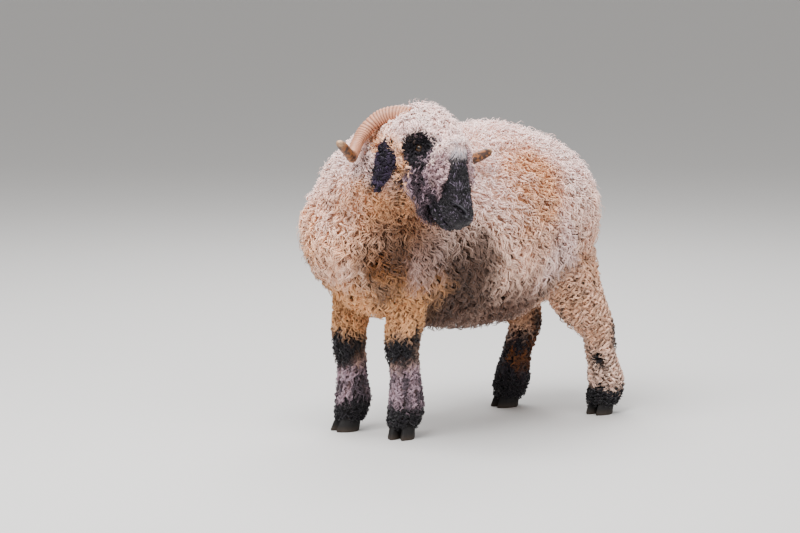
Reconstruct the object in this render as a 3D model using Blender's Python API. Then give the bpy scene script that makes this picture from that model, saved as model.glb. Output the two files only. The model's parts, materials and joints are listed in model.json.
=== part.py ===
"""A Valais Blacknose ewe, life size, standing with her head turned to her left.

Metres, +Z up. She faces -Y, her left side is towards +X, and the floor is at z = 0.
Each tube of flesh and fleece is a row of elliptical sections along a curved path.
The head has its own frame between the eyes, which is then turned, nodded and tilted into place.
"""

import math

import bmesh
import bpy
import numpy as np
from mathutils import Matrix

# Driving sizes of the standing animal.
BACK_HEIGHT = 0.842
BELLY_HEIGHT = 0.262
BODY_LENGTH = 0.900
HALF_WIDTH = 0.258
CHEST_FRONT = -0.490
SEAM_GAP = 0.0003

# Heights and thickness of the legs, over their wool.
ELBOW_HEIGHT = 0.46
KNEE_HEIGHT = 0.265
STIFLE_HEIGHT = 0.44
HOCK_HEIGHT = 0.25
FETLOCK_HEIGHT = 0.095
CORONET_HEIGHT = 0.042
SHANK_RADIUS = 0.049
FRONT_SINK = 0.055
HIND_SINK = 0.10

# How far the clumps of wool stand out of the core that carries them.
TORSO_RELIEF = 0.034
SHANK_RELIEF = 0.012
MIN_RELIEF = 0.004

# Clumps: spacing on each part, and one clump's rings as shares of its width, height and lean.
TORSO_SPACING = 0.100
NECK_SPACING = 0.085
HEAD_SPACING = 0.058
LEG_SPACING = 0.060
TAIL_SPACING = 0.062
ROW_SHARE = 0.90
CLUMP_SIDES = 6
CLUMP_SPREAD = 0.56
CLUMP_JITTER = 0.14
CLUMP_LOBES = 0.07
CLUMP_SINK = 0.010
CLUMP_HEIGHTS = (0.86, 1.00)
CLUMP_RINGS = ((1.04, 0.0, 0.0), (0.78, 0.70, 0.45))
CUTTER_SLACK = 0.15
NECK_SIDES = 16
LEG_SIDES = 14
TAIL_SIDES = 10
TORSO_TRIANGLES = 3600
NECK_TRIANGLES = 860
HEAD_WOOL_TRIANGLES = 1200
LEG_TRIANGLES = 560
TAIL_TRIANGLES = 360
KEPT_MARGIN = 0.012
THIN_STEP = 0.013
THIN_TRIES = 50

# Head, in its own frame: forward, left and up of the midpoint between the eyes.
HEAD_PLACE = (0.285, -0.346, 0.803)
HEAD_TURN = math.radians(9)
HEAD_TILT = math.radians(6)
NOSE_PITCH = math.radians(42)
PITCH_SWING = math.radians(18)
PITCH_SPAN = 0.07
POLL_BACK = -0.115
NOSE_FRONT = 0.235
EYE_PLACE = (0.000, 0.0455, -0.008)
EYE_RADIUS = 0.0145
EYE_LOOK = (0.38, 0.92, 0.08)
LID_THICKNESS = 0.0035
LID_OPEN = (0.0125, 0.0085)
EYE_HOLLOW = (0.019, 0.040)

# The nostrils are commas sunk into the end of the muzzle, and the mouth is a narrow line to its corners.
NOSTRIL_PATH = ((0.219, 0.008, 0.008), (0.217, 0.018, 0.011), (0.207, 0.0285, 0.016), (0.193, 0.0360, 0.021))
NOSTRIL_RADII = (0.0050, 0.0060, 0.0054, 0.0034)
MOUTH_LINE = ((0.158, -0.042), (0.175, -0.043), (0.192, -0.044), (0.210, -0.042), (0.244, -0.038))
MOUTH_OPEN = 0.0012

# The head meets the neck at a plane, given in the head's own frame.
NECK_PLANE_AT = (-0.105, 0.0, -0.02)
NECK_PLANE_LEAN = math.radians(25)
BLOCK_SIZE = 0.4

# Horns wind outwards as a narrowing screw about an axis through both sides of the head.
HORN_AXIS = (-0.089, 0.009)
HORN_WIND = 0.069
HORN_LAST_WIND = 0.040
HORN_ROOT_SIDE = 0.036
HORN_TIP_SIDE = 0.306
HORN_SPREAD = 0.52
HORN_FIRST_ANGLE = math.radians(62)
HORN_LAST_ANGLE = math.radians(343)
HORN_RADIUS = 0.0245
HORN_FLATTEN = 0.80
HORN_RIDGES = 12
HORN_SIDES = 8
HORN_RIDGE = 0.0011
HORN_TAPER = 0.52
HORN_TIP = 0.045

# Ears hang from the sides of the head behind the eyes, as shallow cups that open forwards and out.
EAR_ROOT = (-0.062, 0.080, 0.004)
EAR_TIP = (-0.070, 0.122, -0.116)
EAR_HALF_WIDTH = 0.029
EAR_CUP = 0.013
EAR_THICKNESS = 0.008

# Claws, two on each foot.
CLAW_LENGTH = 0.068
CLAW_WIDTH = 0.034
CLAW_GAP = 0.003
CLAW_LEAN = 0.014
CLAW_AHEAD = 0.018
CLAW_POINT = 0.45

TAIL_HALF_WIDTH = 0.042

# Where the wool of each part starts and ends, how far its tips lean, and what it keeps clear of.
HEAD_LIE = 0.012
NECK_ROOT = 0.06
NECK_LIE = -0.018
TORSO_LIE = 0.022
TAIL_ROOT = 0.07
TAIL_LIE = 0.020
LEG_WOOL_TOP = 0.44
LEG_WOOL_FOOT = 0.080
LEG_LIE = 0.014
EYE_CLEAR = 0.034
EAR_CLEAR = 0.030
HORN_CLEAR = 0.037

EAR_ACROSS = np.array((0.788, -0.616, 0.0))
UP = np.array((0.0, 0.0, 1.0))
SIDE = np.array((1.0, 0.0, 0.0))
ALONG = np.array((0.0, 1.0, 0.0))


def unit(v):
    return v / np.maximum(np.linalg.norm(v, axis=-1, keepdims=True), 1e-12)


def spline_rows(keys, count):
    """Rows read along a Catmull-Rom curve through the key rows, evenly in the key number."""
    keys = np.asarray(keys, float)
    padded = np.vstack((2 * keys[0] - keys[1], keys, 2 * keys[-1] - keys[-2]))
    at = np.linspace(0, len(keys) - 1, count)
    i = np.minimum(at.astype(int), len(keys) - 2)
    t = (at - i)[:, None]
    p0, p1, p2, p3 = (padded[i + k] for k in range(4))
    return 0.5 * (
        2 * p1
        + (p2 - p0) * t
        + (2 * p0 - 5 * p1 + 4 * p2 - p3) * t**2
        + (3 * p1 - p0 - 3 * p2 + p3) * t**3
    )


def sections(keys, count, across):
    """Sections of a tube from keys (x, y, z, half width, half depth, relief of its clumps).

    The squares of the radii are interpolated, so that a radius that falls to nothing ends in a round.
    The half width lies along across, as far as the path allows, and the half depth is square to it.
    facing holds how far the surface looks away from the path, and how far along it.
    """
    keys = np.array(keys, float)
    keys[:, 3:5] **= 2
    rows = spline_rows(keys, count)
    centre = rows[:, :3]
    radii = np.sqrt(np.maximum(rows[:, 3:5], 1e-9))
    way = unit(np.gradient(centre, axis=0))
    a_axis = unit(across - way * (way @ across)[:, None])
    b_axis = np.cross(way, a_axis)
    relief = np.clip(rows[:, 5], 0, None)
    length = np.concatenate(([0.0], np.cumsum(np.linalg.norm(np.diff(centre, axis=0), axis=1))))
    slope = np.gradient(radii.mean(axis=1), length)
    facing = unit(np.stack((np.ones(count), -slope), axis=1))
    return {
        "centre": centre,
        "radii": radii,
        "relief": relief,
        "facing": facing,
        "a": a_axis,
        "b": b_axis,
        "way": way,
    }


def within_facets(tube, sides):
    """Marks a tube whose clumps must stay inside its flat-sided cutter, so that they miss its neighbour."""
    tube["hold"] = math.cos(math.pi / sides)
    return tube


def ring_points(tube, sides, grow=0.0, core=False):
    """Points of the tube's sections, as an array of rings. Growth also moves the two ends out.

    The core of a tube lies inside it by the relief of the clumps.
    """
    turn = np.arange(sides) * 2 * math.pi / sides
    depth = tube["relief"][:, None] * tube["facing"] if core else np.zeros((len(tube["relief"]), 2))
    slack = CUTTER_SLACK * tube["relief"][:, None] if grow else 0.0
    radii = np.maximum(tube["radii"] + grow + slack - depth[:, :1], 1e-4)
    across = tube["a"][:, None] * (radii[:, 0:1] * np.cos(turn))[:, :, None]
    deep = tube["b"][:, None] * (radii[:, 1:2] * np.sin(turn))[:, :, None]
    rings = (tube["centre"] - depth[:, 1:] * tube["way"])[:, None] + across + deep
    rings[0] -= grow * tube["way"][0]
    rings[-1] += grow * tube["way"][-1]
    return rings


def length_along(tube):
    """Distance over the tube's surface to each section, averaged round it, and the girth of each."""
    rings = ring_points(tube, 16, core=True)
    steps = np.linalg.norm(np.diff(rings, axis=0), axis=2).mean(axis=1)
    girth = np.linalg.norm(rings - np.roll(rings, 1, axis=1), axis=2).sum(axis=1)
    return np.concatenate(([0.0], np.cumsum(steps))), girth


def over_tube(tube, run, turn, share, sunk=0.0):
    """Points over a tube at runs along it and angles round it.

    They stand a share of the way from its core to the tips of its wool, or are sunk into the core.
    """
    along, _ = length_along(tube)
    at = np.interp(run, along, np.arange(len(along)))
    i = np.minimum(at.astype(int), len(along) - 2)
    t = (at - i)[..., None]

    def mix(values):
        return values[i] * (1 - t) + values[i + 1] * t

    depth = ((1 - share) * mix(tube["relief"][:, None]) + sunk) * unit(mix(tube["facing"]))
    radii = np.maximum((mix(tube["radii"]) - depth[..., :1]) * tube.get("hold", 1.0), 1e-3)
    across = mix(tube["a"]) * (radii[..., 0] * np.cos(turn))[..., None]
    deep = mix(tube["b"]) * (radii[..., 1] * np.sin(turn))[..., None]
    return mix(tube["centre"]) - depth[..., 1:] * mix(tube["way"]) + across + deep


def clump_rows(tube, spacing, first, last):
    """Middles of clumps over a tube, as runs and angles: staggered rows from one run to another."""
    along, girth = length_along(tube)
    rows = max(2, round((last - first) / (spacing * ROW_SHARE)) + 1)
    middles = []
    for row, run in enumerate(np.linspace(first, last, rows)):
        count = max(4, round(np.interp(run, along, girth) / spacing))
        for k in range(count):
            middles.append((run, (k + 0.5 * (row % 2)) * 2 * math.pi / count))
    return middles


def clumps(tube, spacing, first, last, lie, skip, seed):
    """Rounded clumps of wool over a tube, each a closed mesh with its root sunk into the core.

    lie is how far the tips lean along the tube. skip tells of a point whether it is left bare.
    """
    random = np.random.default_rng(seed)
    along, girth = length_along(tube)
    phase = np.arange(CLUMP_SIDES) * 2 * math.pi / CLUMP_SIDES
    made = []
    for run, turn in clump_rows(tube, spacing, first, last):
        run += spacing * random.uniform(-CLUMP_JITTER, CLUMP_JITTER)
        around = np.interp(run, along, girth) / (2 * math.pi)
        turn += spacing / around * random.uniform(-CLUMP_JITTER, CLUMP_JITTER)
        wide = spacing * CLUMP_SPREAD * random.uniform(0.92, 1.10)
        sway = random.uniform(-0.25, 0.25) * spacing
        spin = random.uniform(0, 2 * math.pi)
        relief = np.interp(run, along, tube["relief"])
        tall = random.uniform(*CLUMP_HEIGHTS)
        middle = over_tube(tube, np.array(run), np.array(turn), 1.0)
        if relief < MIN_RELIEF or skip(middle):
            continue
        rings = []
        for size, height, lean in CLUMP_RINGS:
            lobes = wide * size * (1 + CLUMP_LOBES * np.cos(phase * CLUMP_SIDES / 2))
            runs = run + lean * lie + lobes * np.cos(phase + spin)
            sides = lean * sway + lobes * np.sin(phase + spin)
            sunk = CLUMP_SINK if height == 0 else 0.0
            rings.append(over_tube(tube, runs, turn + sides / around, height * tall, sunk))
        tip = over_tube(tube, np.array(run + lie), np.array(turn + sway / around), tall)
        made.append(new_object("clump", *closed_rings(np.array(rings), end_tip=tip), hidden=True))
    return made


def inside_tube(tube, point, grow=0.0):
    """Whether a point lies inside a tube that is grown by the given amount."""
    away = point - tube["centre"]
    near = np.argmin(np.linalg.norm(away, axis=1))
    radii = tube["radii"][near] + grow
    across, deep = away[near] @ tube["a"][near], away[near] @ tube["b"][near]
    beyond = abs(away[near] @ tube["way"][near])
    return (across / radii[0]) ** 2 + (deep / radii[1]) ** 2 < 1 and beyond < max(radii)


def closed_rings(rings, start_tip=None, end_tip=None):
    """Vertices and triangles of a closed skin over rings of points, with a fan at each end.

    The diagonals always run the same way, so a grown copy keeps its distance all over.
    """
    count, sides = rings.shape[:2]
    tips = (
        rings[0].mean(axis=0) if start_tip is None else np.asarray(start_tip),
        rings[-1].mean(axis=0) if end_tip is None else np.asarray(end_tip),
    )
    points = np.vstack((rings.reshape(-1, 3), tips))
    first, last = count * sides, count * sides + 1
    faces = []
    for j in range(sides):
        k = (j + 1) % sides
        faces.append((first, k, j))
        faces.append((last, (count - 1) * sides + j, (count - 1) * sides + k))
        for i in range(count - 1):
            low, high = i * sides, (i + 1) * sides
            faces.append((low + j, low + k, high + k))
            faces.append((low + j, high + k, high + j))
    return points, faces


def new_object(name, points, faces, hidden=False):
    """A mesh object whose faces point outwards."""
    mesh = bpy.data.meshes.new(name)
    mesh.from_pydata([tuple(p) for p in points], [], faces)
    work = bmesh.new()
    work.from_mesh(mesh)
    bmesh.ops.recalc_face_normals(work, faces=work.faces)
    bmesh.ops.triangulate(work, faces=work.faces)
    work.to_mesh(mesh)
    work.free()
    made = bpy.data.objects.new(name, mesh)
    bpy.context.scene.collection.objects.link(made)
    made.hide_render = hidden
    return made


def tube_object(name, tube, sides, grow=0.0, hidden=False, core=False):
    rings = ring_points(tube, sides, grow, core)
    return new_object(name, *closed_rings(rings), hidden=hidden)


def finished(name, colour, roughness):
    """A plain painted material for the solids."""
    made = bpy.data.materials.new(name)
    made.use_nodes = True
    shader = made.node_tree.nodes["Principled BSDF"]
    shader.inputs["Base Color"].default_value = (*colour, 1.0)
    shader.inputs["Roughness"].default_value = roughness
    shader.inputs["Metallic"].default_value = 0.0
    return made


def applied(target, modifier):
    """Puts the result of a modifier in place of the target's mesh."""
    graph = bpy.context.evaluated_depsgraph_get()
    result = bpy.data.meshes.new_from_object(target.evaluated_get(graph))
    target.modifiers.remove(modifier)
    old = target.data
    target.data = result
    bpy.data.meshes.remove(old)


def apply_boolean(target, operation, others):
    """Joins or cuts the target with the others, keeps the result, and removes the others."""
    held = bpy.data.collections.new("operands")
    for other in others:
        held.objects.link(other)
    modifier = target.modifiers.new("join", "BOOLEAN")
    modifier.operation = operation
    modifier.operand_type = "COLLECTION"
    modifier.collection = held
    modifier.solver = "MANIFOLD"
    applied(target, modifier)
    for other in others:
        bpy.data.objects.remove(other)
    bpy.data.collections.remove(held)


def is_closed(mesh):
    work = bmesh.new()
    work.from_mesh(mesh)
    closed = all(edge.is_manifold for edge in work.edges) and all(vert.is_manifold for vert in work.verts)
    work.free()
    return closed


def in_triangles(mesh):
    work = bmesh.new()
    work.from_mesh(mesh)
    bmesh.ops.triangulate(work, faces=work.faces)
    work.to_mesh(mesh)
    work.free()


def thin_out(target, count, kept=None):
    """Collapses the least telling edges until about count triangles are left, as near as it stays closed.

    What lies inside the tube kept, where this part meets its neighbour, stays as it is and isn't counted.
    """
    in_triangles(target.data)
    whole = target.data
    places = [np.array(vert.co) for vert in whole.vertices]
    free = [i for i, place in enumerate(places) if not (kept and inside_tube(kept, place, KEPT_MARGIN))]
    held = sum(1 for face in whole.polygons if not set(free).intersection(face.vertices))
    for attempt in range(THIN_TRIES):
        share = 1 + THIN_STEP * (attempt // 2) * (-1) ** attempt
        target.data = whole.copy()
        target.vertex_groups.clear()
        target.vertex_groups.new(name="free").add(free, 1.0, "REPLACE")
        modifier = target.modifiers.new("thin", "DECIMATE")
        modifier.ratio = min(1.0, (held + share * count) / len(whole.polygons))
        modifier.vertex_group = "free"
        applied(target, modifier)
        if is_closed(target.data):
            return
    target.data = whole


def keep_largest(target):
    """Keeps only the closed surface that holds the most."""
    work = bmesh.new()
    work.from_mesh(target.data)
    left = set(work.verts)
    groups = []
    while left:
        group, edge = set(), [left.pop()]
        while edge:
            vert = edge.pop()
            group.add(vert)
            for link in vert.link_edges:
                other = link.other_vert(vert)
                if other in left:
                    left.discard(other)
                    edge.append(other)
        groups.append(group)
    extents = []
    for group in groups:
        places = np.array([v.co for v in group])
        extents.append(np.prod(np.ptp(places, axis=0)))
    best = groups[int(np.argmax(extents))]
    bmesh.ops.delete(work, geom=[v for v in work.verts if v not in best], context="VERTS")
    bmesh.ops.triangulate(work, faces=work.faces)
    work.to_mesh(target.data)
    work.free()


def finish_node(target, material):
    keep_largest(target)
    target.data.materials.clear()
    target.data.materials.append(material)
    target.data.shade_smooth()
    target.data.set_sharp_from_angle(angle=math.radians(50))


# Sections of the torso: share of its length, of the back's height, of the belly's height and of the half
# width, all over the fleece, and how far the clumps stand out there.
TORSO_SHARES = (
    (0.00, 0.640, 1.980, 0.00, 0.60),
    (0.05, 0.790, 1.560, 0.54, 0.95),
    (0.13, 0.890, 1.330, 0.75, 1.00),
    (0.26, 0.945, 1.170, 0.86, 1.00),
    (0.42, 0.975, 1.040, 0.94, 1.00),
    (0.58, 0.997, 1.000, 1.00, 1.00),
    (0.70, 1.002, 1.060, 0.99, 1.00),
    (0.81, 0.978, 1.220, 0.93, 1.00),
    (0.90, 0.945, 1.440, 0.81, 1.00),
    (0.96, 0.878, 1.720, 0.61, 0.90),
    (1.00, 0.730, 2.170, 0.00, 0.50),
)


def torso_keys():
    keys = []
    for share, back, belly, width, relief in TORSO_SHARES:
        top, bottom = back * BACK_HEIGHT, belly * BELLY_HEIGHT
        y = CHEST_FRONT + share * BODY_LENGTH
        half = (top - bottom) / 2 if width else 0.0
        keys.append((0.0, y, (top + bottom) / 2, width * HALF_WIDTH, half, relief * TORSO_RELIEF))
    return keys


# The neck bends to the left, from inside the chest to the back of the head.
NECK_KEYS = (
    (-0.060, -0.240, 0.565, 0.085, 0.085, 0.000),
    (-0.028, -0.290, 0.592, 0.130, 0.138, 0.000),
    (0.016, -0.330, 0.632, 0.157, 0.170, 0.030),
    (0.074, -0.357, 0.688, 0.145, 0.156, 0.030),
    (0.146, -0.363, 0.738, 0.128, 0.132, 0.026),
    (0.235, -0.352, 0.775, 0.106, 0.108, 0.022),
)
NECK_ACROSS = unit(np.array((0.3, 0.9, 0.0)))

# The tail hangs behind the rump.
TAIL_KEYS = (
    (0.000, 0.330, 0.700, 0.030, 0.034, 0.000),
    (0.000, 0.375, 0.690, 0.036, 0.036, 0.000),
    (0.000, 0.408, 0.640, TAIL_HALF_WIDTH, 0.032, 0.010),
    (0.004, 0.420, 0.560, TAIL_HALF_WIDTH, 0.032, 0.012),
    (0.008, 0.418, 0.470, TAIL_HALF_WIDTH, 0.030, 0.012),
    (0.010, 0.410, 0.390, 0.000, 0.000, 0.000),
)


def head_turned(vectors):
    return np.asarray(vectors) @ np.array(head_matrix())[:3, :3].T


def head_matrix():
    """From the head's own axes (forward, left, up) to the animal's."""
    turn = Matrix.Rotation(HEAD_TURN, 4, "Z")
    tilt = Matrix.Rotation(-HEAD_TILT, 4, "X")
    return Matrix.Translation(HEAD_PLACE) @ turn @ tilt


def head_placed(points):
    return head_turned(points) + np.array(HEAD_PLACE)


def head_line(along):
    """Midline of the head at a distance along it from the eyes: forward, up, and the pitch there."""
    steps = np.linspace(0, along, 40)
    pitch = NOSE_PITCH + PITCH_SWING * np.tanh(steps / PITCH_SPAN)
    return along * np.cos(pitch).mean(), -along * np.sin(pitch).mean(), pitch[-1]


# Sections of the skull: distance along the head's midline, height over it, depth below it, half width.
SKULL_SECTIONS = (
    (POLL_BACK, 0.010, 0.030, 0.000),
    (-0.100, 0.034, 0.060, 0.044),
    (-0.060, 0.046, 0.072, 0.060),
    (-0.010, 0.044, 0.072, 0.058),
    (0.035, 0.038, 0.066, 0.051),
    (0.080, 0.034, 0.058, 0.046),
    (0.130, 0.033, 0.052, 0.044),
    (0.170, 0.032, 0.047, 0.044),
    (0.202, 0.026, 0.044, 0.041),
    (0.220, 0.015, 0.042, 0.034),
    (0.230, 0.002, 0.036, 0.022),
    (NOSE_FRONT, -0.012, 0.022, 0.000),
)

# Sections of the lower jaw, in the same way. The mouth is the line where it meets the upper one.
JAW_SECTIONS = (
    (-0.075, -0.030, 0.060, 0.000),
    (-0.055, -0.020, 0.090, 0.040),
    (-0.010, -0.020, 0.102, 0.045),
    (0.045, -0.020, 0.092, 0.043),
    (0.095, -0.020, 0.080, 0.040),
    (0.145, -0.024, 0.074, 0.038),
    (0.180, -0.029, 0.071, 0.037),
    (0.206, -0.032, 0.066, 0.030),
    (0.220, -0.036, 0.060, 0.020),
    (0.226, -0.044, 0.054, 0.000),
)

# Sections of the wool round the head, out to its tips, in the same way.
HEAD_WOOL_SECTIONS = (
    (-0.150, 0.020, 0.050, 0.000, 0.000),
    (-0.130, 0.048, 0.094, 0.070, 0.020),
    (-0.090, 0.070, 0.120, 0.100, 0.024),
    (-0.040, 0.097, 0.130, 0.106, 0.024),
    (0.010, 0.091, 0.128, 0.098, 0.020),
    (0.055, 0.060, 0.124, 0.084, 0.018),
    (0.100, 0.041, 0.112, 0.070, 0.015),
    (0.138, 0.024, 0.096, 0.056, 0.010),
    (0.166, 0.000, 0.078, 0.042, 0.006),
    (0.178, -0.022, 0.056, 0.000, 0.000),
)


def head_tube(rows, count):
    keys = []
    for along, high, low, half, *relief in rows:
        forward, up, pitch = head_line(along)
        middle = (high - low) / 2
        deep = (high + low) / 2 if half else 0.0
        centre = (forward + middle * math.sin(pitch), 0.0, up + middle * math.cos(pitch))
        keys.append((*centre, half, deep, relief[0] if relief else 0.0))
    return head_set(sections(keys, count, ALONG))


def front_leg(side, x, y):
    """Keys of a front leg whose hoof stands at x, y."""
    r, relief = SHANK_RADIUS, SHANK_RELIEF
    return (
        (side * 0.095, y + 0.010, ELBOW_HEIGHT + FRONT_SINK, 0.045, 0.055, 0.0),
        (side * 0.098, y + 0.020, ELBOW_HEIGHT, 0.062, 0.078, 0.0),
        ((side * 0.098 + x) / 2, y + 0.008, 0.36, 0.058, 0.062, relief),
        (x, y - 0.004, KNEE_HEIGHT, r * 1.08, r * 1.08, relief),
        (x, y + 0.006, 0.18, r * 0.95, r * 0.95, relief),
        (x, y + 0.010, FETLOCK_HEIGHT, r * 1.08, r * 1.10, relief),
        (x, y, CORONET_HEIGHT + 0.004, r * 0.98, r * 1.02, 0.0),
        (x, y, CORONET_HEIGHT - 0.010, r * 0.90, r * 0.94, 0.0),
    )


def hind_leg(side, x, y, hock_y, stifle_y):
    """Keys of a hind leg whose hoof stands at x, y, with its hock and stifle at the given places."""
    r, relief = SHANK_RADIUS, SHANK_RELIEF
    return (
        (side * 0.110, stifle_y + 0.02, STIFLE_HEIGHT + HIND_SINK, 0.060, 0.090, 0.0),
        (side * 0.122, stifle_y + 0.01, STIFLE_HEIGHT, 0.078, 0.105, 0.0),
        ((side * 0.130 + x) / 2, (stifle_y + hock_y) / 2 - 0.004, 0.340, 0.064, 0.082, relief),
        (x, hock_y, HOCK_HEIGHT, r * 1.00, r * 1.14, relief),
        (x, (hock_y + y) / 2 + 0.006, 0.17, r * 0.92, r * 0.95, relief),
        (x, y + 0.014, FETLOCK_HEIGHT, r * 1.05, r * 1.10, relief),
        (x, y, CORONET_HEIGHT + 0.004, r * 0.98, r * 1.02, 0.0),
        (x, y, CORONET_HEIGHT - 0.010, r * 0.90, r * 0.94, 0.0),
    )


# Where each hoof stands, and the angle by which its toes turn to the animal's left.
FEET = {
    "front_left": (0.078, -0.268, math.radians(30)),
    "front_right": (-0.102, -0.305, math.radians(-8)),
    "hind_left": (0.148, 0.402, math.radians(12)),
    "hind_right": (-0.105, 0.278, math.radians(-6)),
}


def leg_tube(name, count=15):
    x, y, _ = FEET[name]
    if name == "hind_left":
        keys = hind_leg(1, x, y, 0.374, 0.262)
    elif name == "hind_right":
        keys = hind_leg(-1, x, y, 0.335, 0.280)
    else:
        keys = front_leg(1 if x > 0 else -1, x, y)
    return within_facets(sections(keys, count, SIDE), LEG_SIDES)


def foot_placed(foot, forward, across, up):
    """Points given forward, left and up of a foot, on the ground it stands on."""
    x, y, turn = foot
    east = x + forward * math.sin(turn) + across * math.cos(turn)
    north = y - forward * math.cos(turn) + across * math.sin(turn)
    return np.stack((east, north, up), axis=1)


def claw_rings(foot, half, grow=0.0, sides=10):
    """Rings of one claw: a pointed oval sole, and a smaller top that leans back.

    half is -1 or 1, its side of the foot. The inner face is flat beside the other claw.
    """
    angle = np.arange(sides) * 2 * math.pi / sides
    forward = CLAW_LENGTH / 2 * np.cos(angle)
    point = 1 - CLAW_POINT * np.maximum(np.cos(angle), 0) ** 2
    outward = np.sin(angle) * point
    outward = np.where(outward > 0, outward * CLAW_WIDTH * 0.6, outward * CLAW_WIDTH * 0.4)
    top = CORONET_HEIGHT - SEAM_GAP
    rings = []
    for share, size, lean in ((0.0, 1.0, 0.0), (0.12, 1.02, 0.1), (0.55, 0.95, 0.5), (1.0, 0.82, 1.0)):
        ahead = size * forward + CLAW_AHEAD - lean * CLAW_LEAN + grow * np.cos(angle)
        aside = size * outward + CLAW_WIDTH * 0.4 + CLAW_GAP / 2 + grow * np.sin(angle)
        height = {0.0: -grow, 1.0: top + grow}.get(share, share * top)
        rings.append(foot_placed(foot, ahead, half * aside, np.full(sides, height)))
    return np.array(rings)


def head_set(tube):
    """A tube given in the head's own frame, put in the animal's."""
    tube["centre"] = head_placed(tube["centre"])
    for name in ("a", "b", "way"):
        tube[name] = head_turned(tube[name])
    return tube


def horn_radius(t):
    """Radius of a horn at shares t of its length: an even taper, then a round end."""
    return HORN_RADIUS * (1 - HORN_TAPER * t) * np.sqrt(1 - np.clip((t - 1 + HORN_TIP) / HORN_TIP, 0, 1) ** 2)


def horn_tube(side, count, start=0.0, ridged=True):
    """A horn from the share start of its length, as a screw about an axis through the head's sides.

    side is 1 on the left. Its rings swell and sink to make the ridges.
    """
    keys = []
    for t in np.linspace(start, 1, count):
        angle = HORN_FIRST_ANGLE + t * (HORN_LAST_ANGLE - HORN_FIRST_ANGLE)
        wind = HORN_WIND + t * (HORN_LAST_WIND - HORN_WIND)
        spread = (1 - HORN_SPREAD) * t + HORN_SPREAD * t * t
        out = HORN_ROOT_SIDE + (HORN_TIP_SIDE - HORN_ROOT_SIDE) * spread
        radius = horn_radius(t)
        if ridged:
            radius += HORN_RIDGE * math.cos(2 * math.pi * HORN_RIDGES * t) * (1 - t)
        place = (HORN_AXIS[0] + wind * math.cos(angle), side * out, HORN_AXIS[1] + wind * math.sin(angle))
        keys.append((*place, radius * HORN_FLATTEN, radius, 0.0))
    return head_set(sections(keys, count, ALONG))


def ear_rings(side, count=9, sides=12, grow=0.0):
    """Rings of an ear from its root down: thin crescents, hollow forwards and outwards."""
    root, tip = np.array(EAR_ROOT), np.array(EAR_TIP)
    down = unit(tip - root)
    across = unit(EAR_ACROSS - down * (down @ EAR_ACROSS))
    out = np.cross(down, across)
    angle = np.arange(sides) * 2 * math.pi / sides
    rings = []
    for t in np.linspace(0, 1, count):
        leaf = math.sin(math.pi * (0.13 + 0.80 * t) ** 1.1)
        width = EAR_HALF_WIDTH * max(leaf, 0.20)
        x = (width + grow) * np.cos(angle)
        thick = EAR_THICKNESS / 2 * (1.5 - 0.8 * t) + grow
        hollow = EAR_CUP * min(1.0, 2.5 * t) * (1 - (x / width) ** 2) * (1 - 0.8 * t**2)
        y = thick * np.sin(angle) - hollow
        rings.append(root + down * np.linalg.norm(tip - root) * t + x[:, None] * across + y[:, None] * out)
    rings = np.array(rings)
    rings[0] -= grow * down
    rings[-1] += grow * down
    rings[:, :, 1] *= side
    return head_placed(rings)


def sphere(name, centre, radius, columns=12, rows=8):
    """A hidden ball as a closed mesh."""
    polar = np.linspace(0, math.pi, rows + 1)[1:-1, None, None]
    turn = (np.arange(columns) * 2 * math.pi / columns)[None, :, None]
    rings = np.concatenate(
        (np.sin(polar) * np.cos(turn), np.sin(polar) * np.sin(turn), np.cos(polar) + 0 * turn), axis=2
    )
    centre = np.asarray(centre)
    tips = (centre + radius * UP, centre - radius * UP)
    return new_object(name, *closed_rings(centre + radius * rings, *tips), hidden=True)


def eye_axes(side):
    """Look, forward and up of an eye in the head's frame, square to each other."""
    look = unit(np.array(EYE_LOOK) * (1, side, 1))
    ahead = unit(np.array((1.0, 0.0, -0.35)) - look * (look @ (1.0, 0.0, -0.35)))
    return look, ahead, np.cross(look, ahead)


def eye_centre(side):
    return np.array(EYE_PLACE) * (1, side, 1)


def eye_tube(name, side, spans, sides=18):
    """A hidden tube out of an eye. spans lists distance out, half width and half height."""
    look, ahead, up = eye_axes(side)
    turn = np.arange(sides) * 2 * math.pi / sides
    rings = []
    for out, wide, high in spans:
        flat = wide * np.cos(turn)[:, None] * ahead + high * np.sin(turn)[:, None] * up
        rings.append(eye_centre(side) + out * look + flat)
    return new_object(name, *closed_rings(head_placed(np.array(rings))), hidden=True)


def head_point(along, aside, over):
    """A point at a distance along the head's midline, to its left and over it, in the head's frame."""
    forward, up, pitch = head_line(along)
    return np.array((forward + over * math.sin(pitch), aside, up + over * math.cos(pitch)))


def nostril(side):
    keys = []
    for (along, aside, over), radius in zip(NOSTRIL_PATH, NOSTRIL_RADII):
        keys.append((*head_point(along, side * aside, over), radius, radius, 0.0))
    return tube_object("nostril", head_set(sections(keys, 8, UP)), 8, hidden=True)


def mouth():
    """A thin curved slab right through the muzzle, for the line of the mouth."""
    rings = []
    for along, over in MOUTH_LINE:
        low, high = over - MOUTH_OPEN, over + MOUTH_OPEN
        half = NOSE_FRONT / 4
        corners = ((half, low), (half, high), (-half, high), (-half, low))
        rings.append([head_point(along, aside, at) for aside, at in corners])
    return new_object("mouth", *closed_rings(head_placed(np.array(rings))), hidden=True)


def neck_block(forward):
    """A block on one side of the plane between head and neck: before it, or behind it."""
    lean = NECK_PLANE_LEAN
    normal = np.array((math.cos(lean), 0, math.sin(lean)))
    over = np.array((-math.sin(lean), 0, math.cos(lean)))
    way = normal if forward else -normal
    near = np.array(NECK_PLANE_AT) - way * SEAM_GAP / 2
    far = near + way * BLOCK_SIZE
    rings = []
    for at in (near, far):
        corners = ((1, 1), (1, -1), (-1, -1), (-1, 1))
        rings.append([at + BLOCK_SIZE * (u * over + v * ALONG) for u, v in corners])
    return new_object("block", *closed_rings(head_placed(np.array(rings))), hidden=True)


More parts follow.
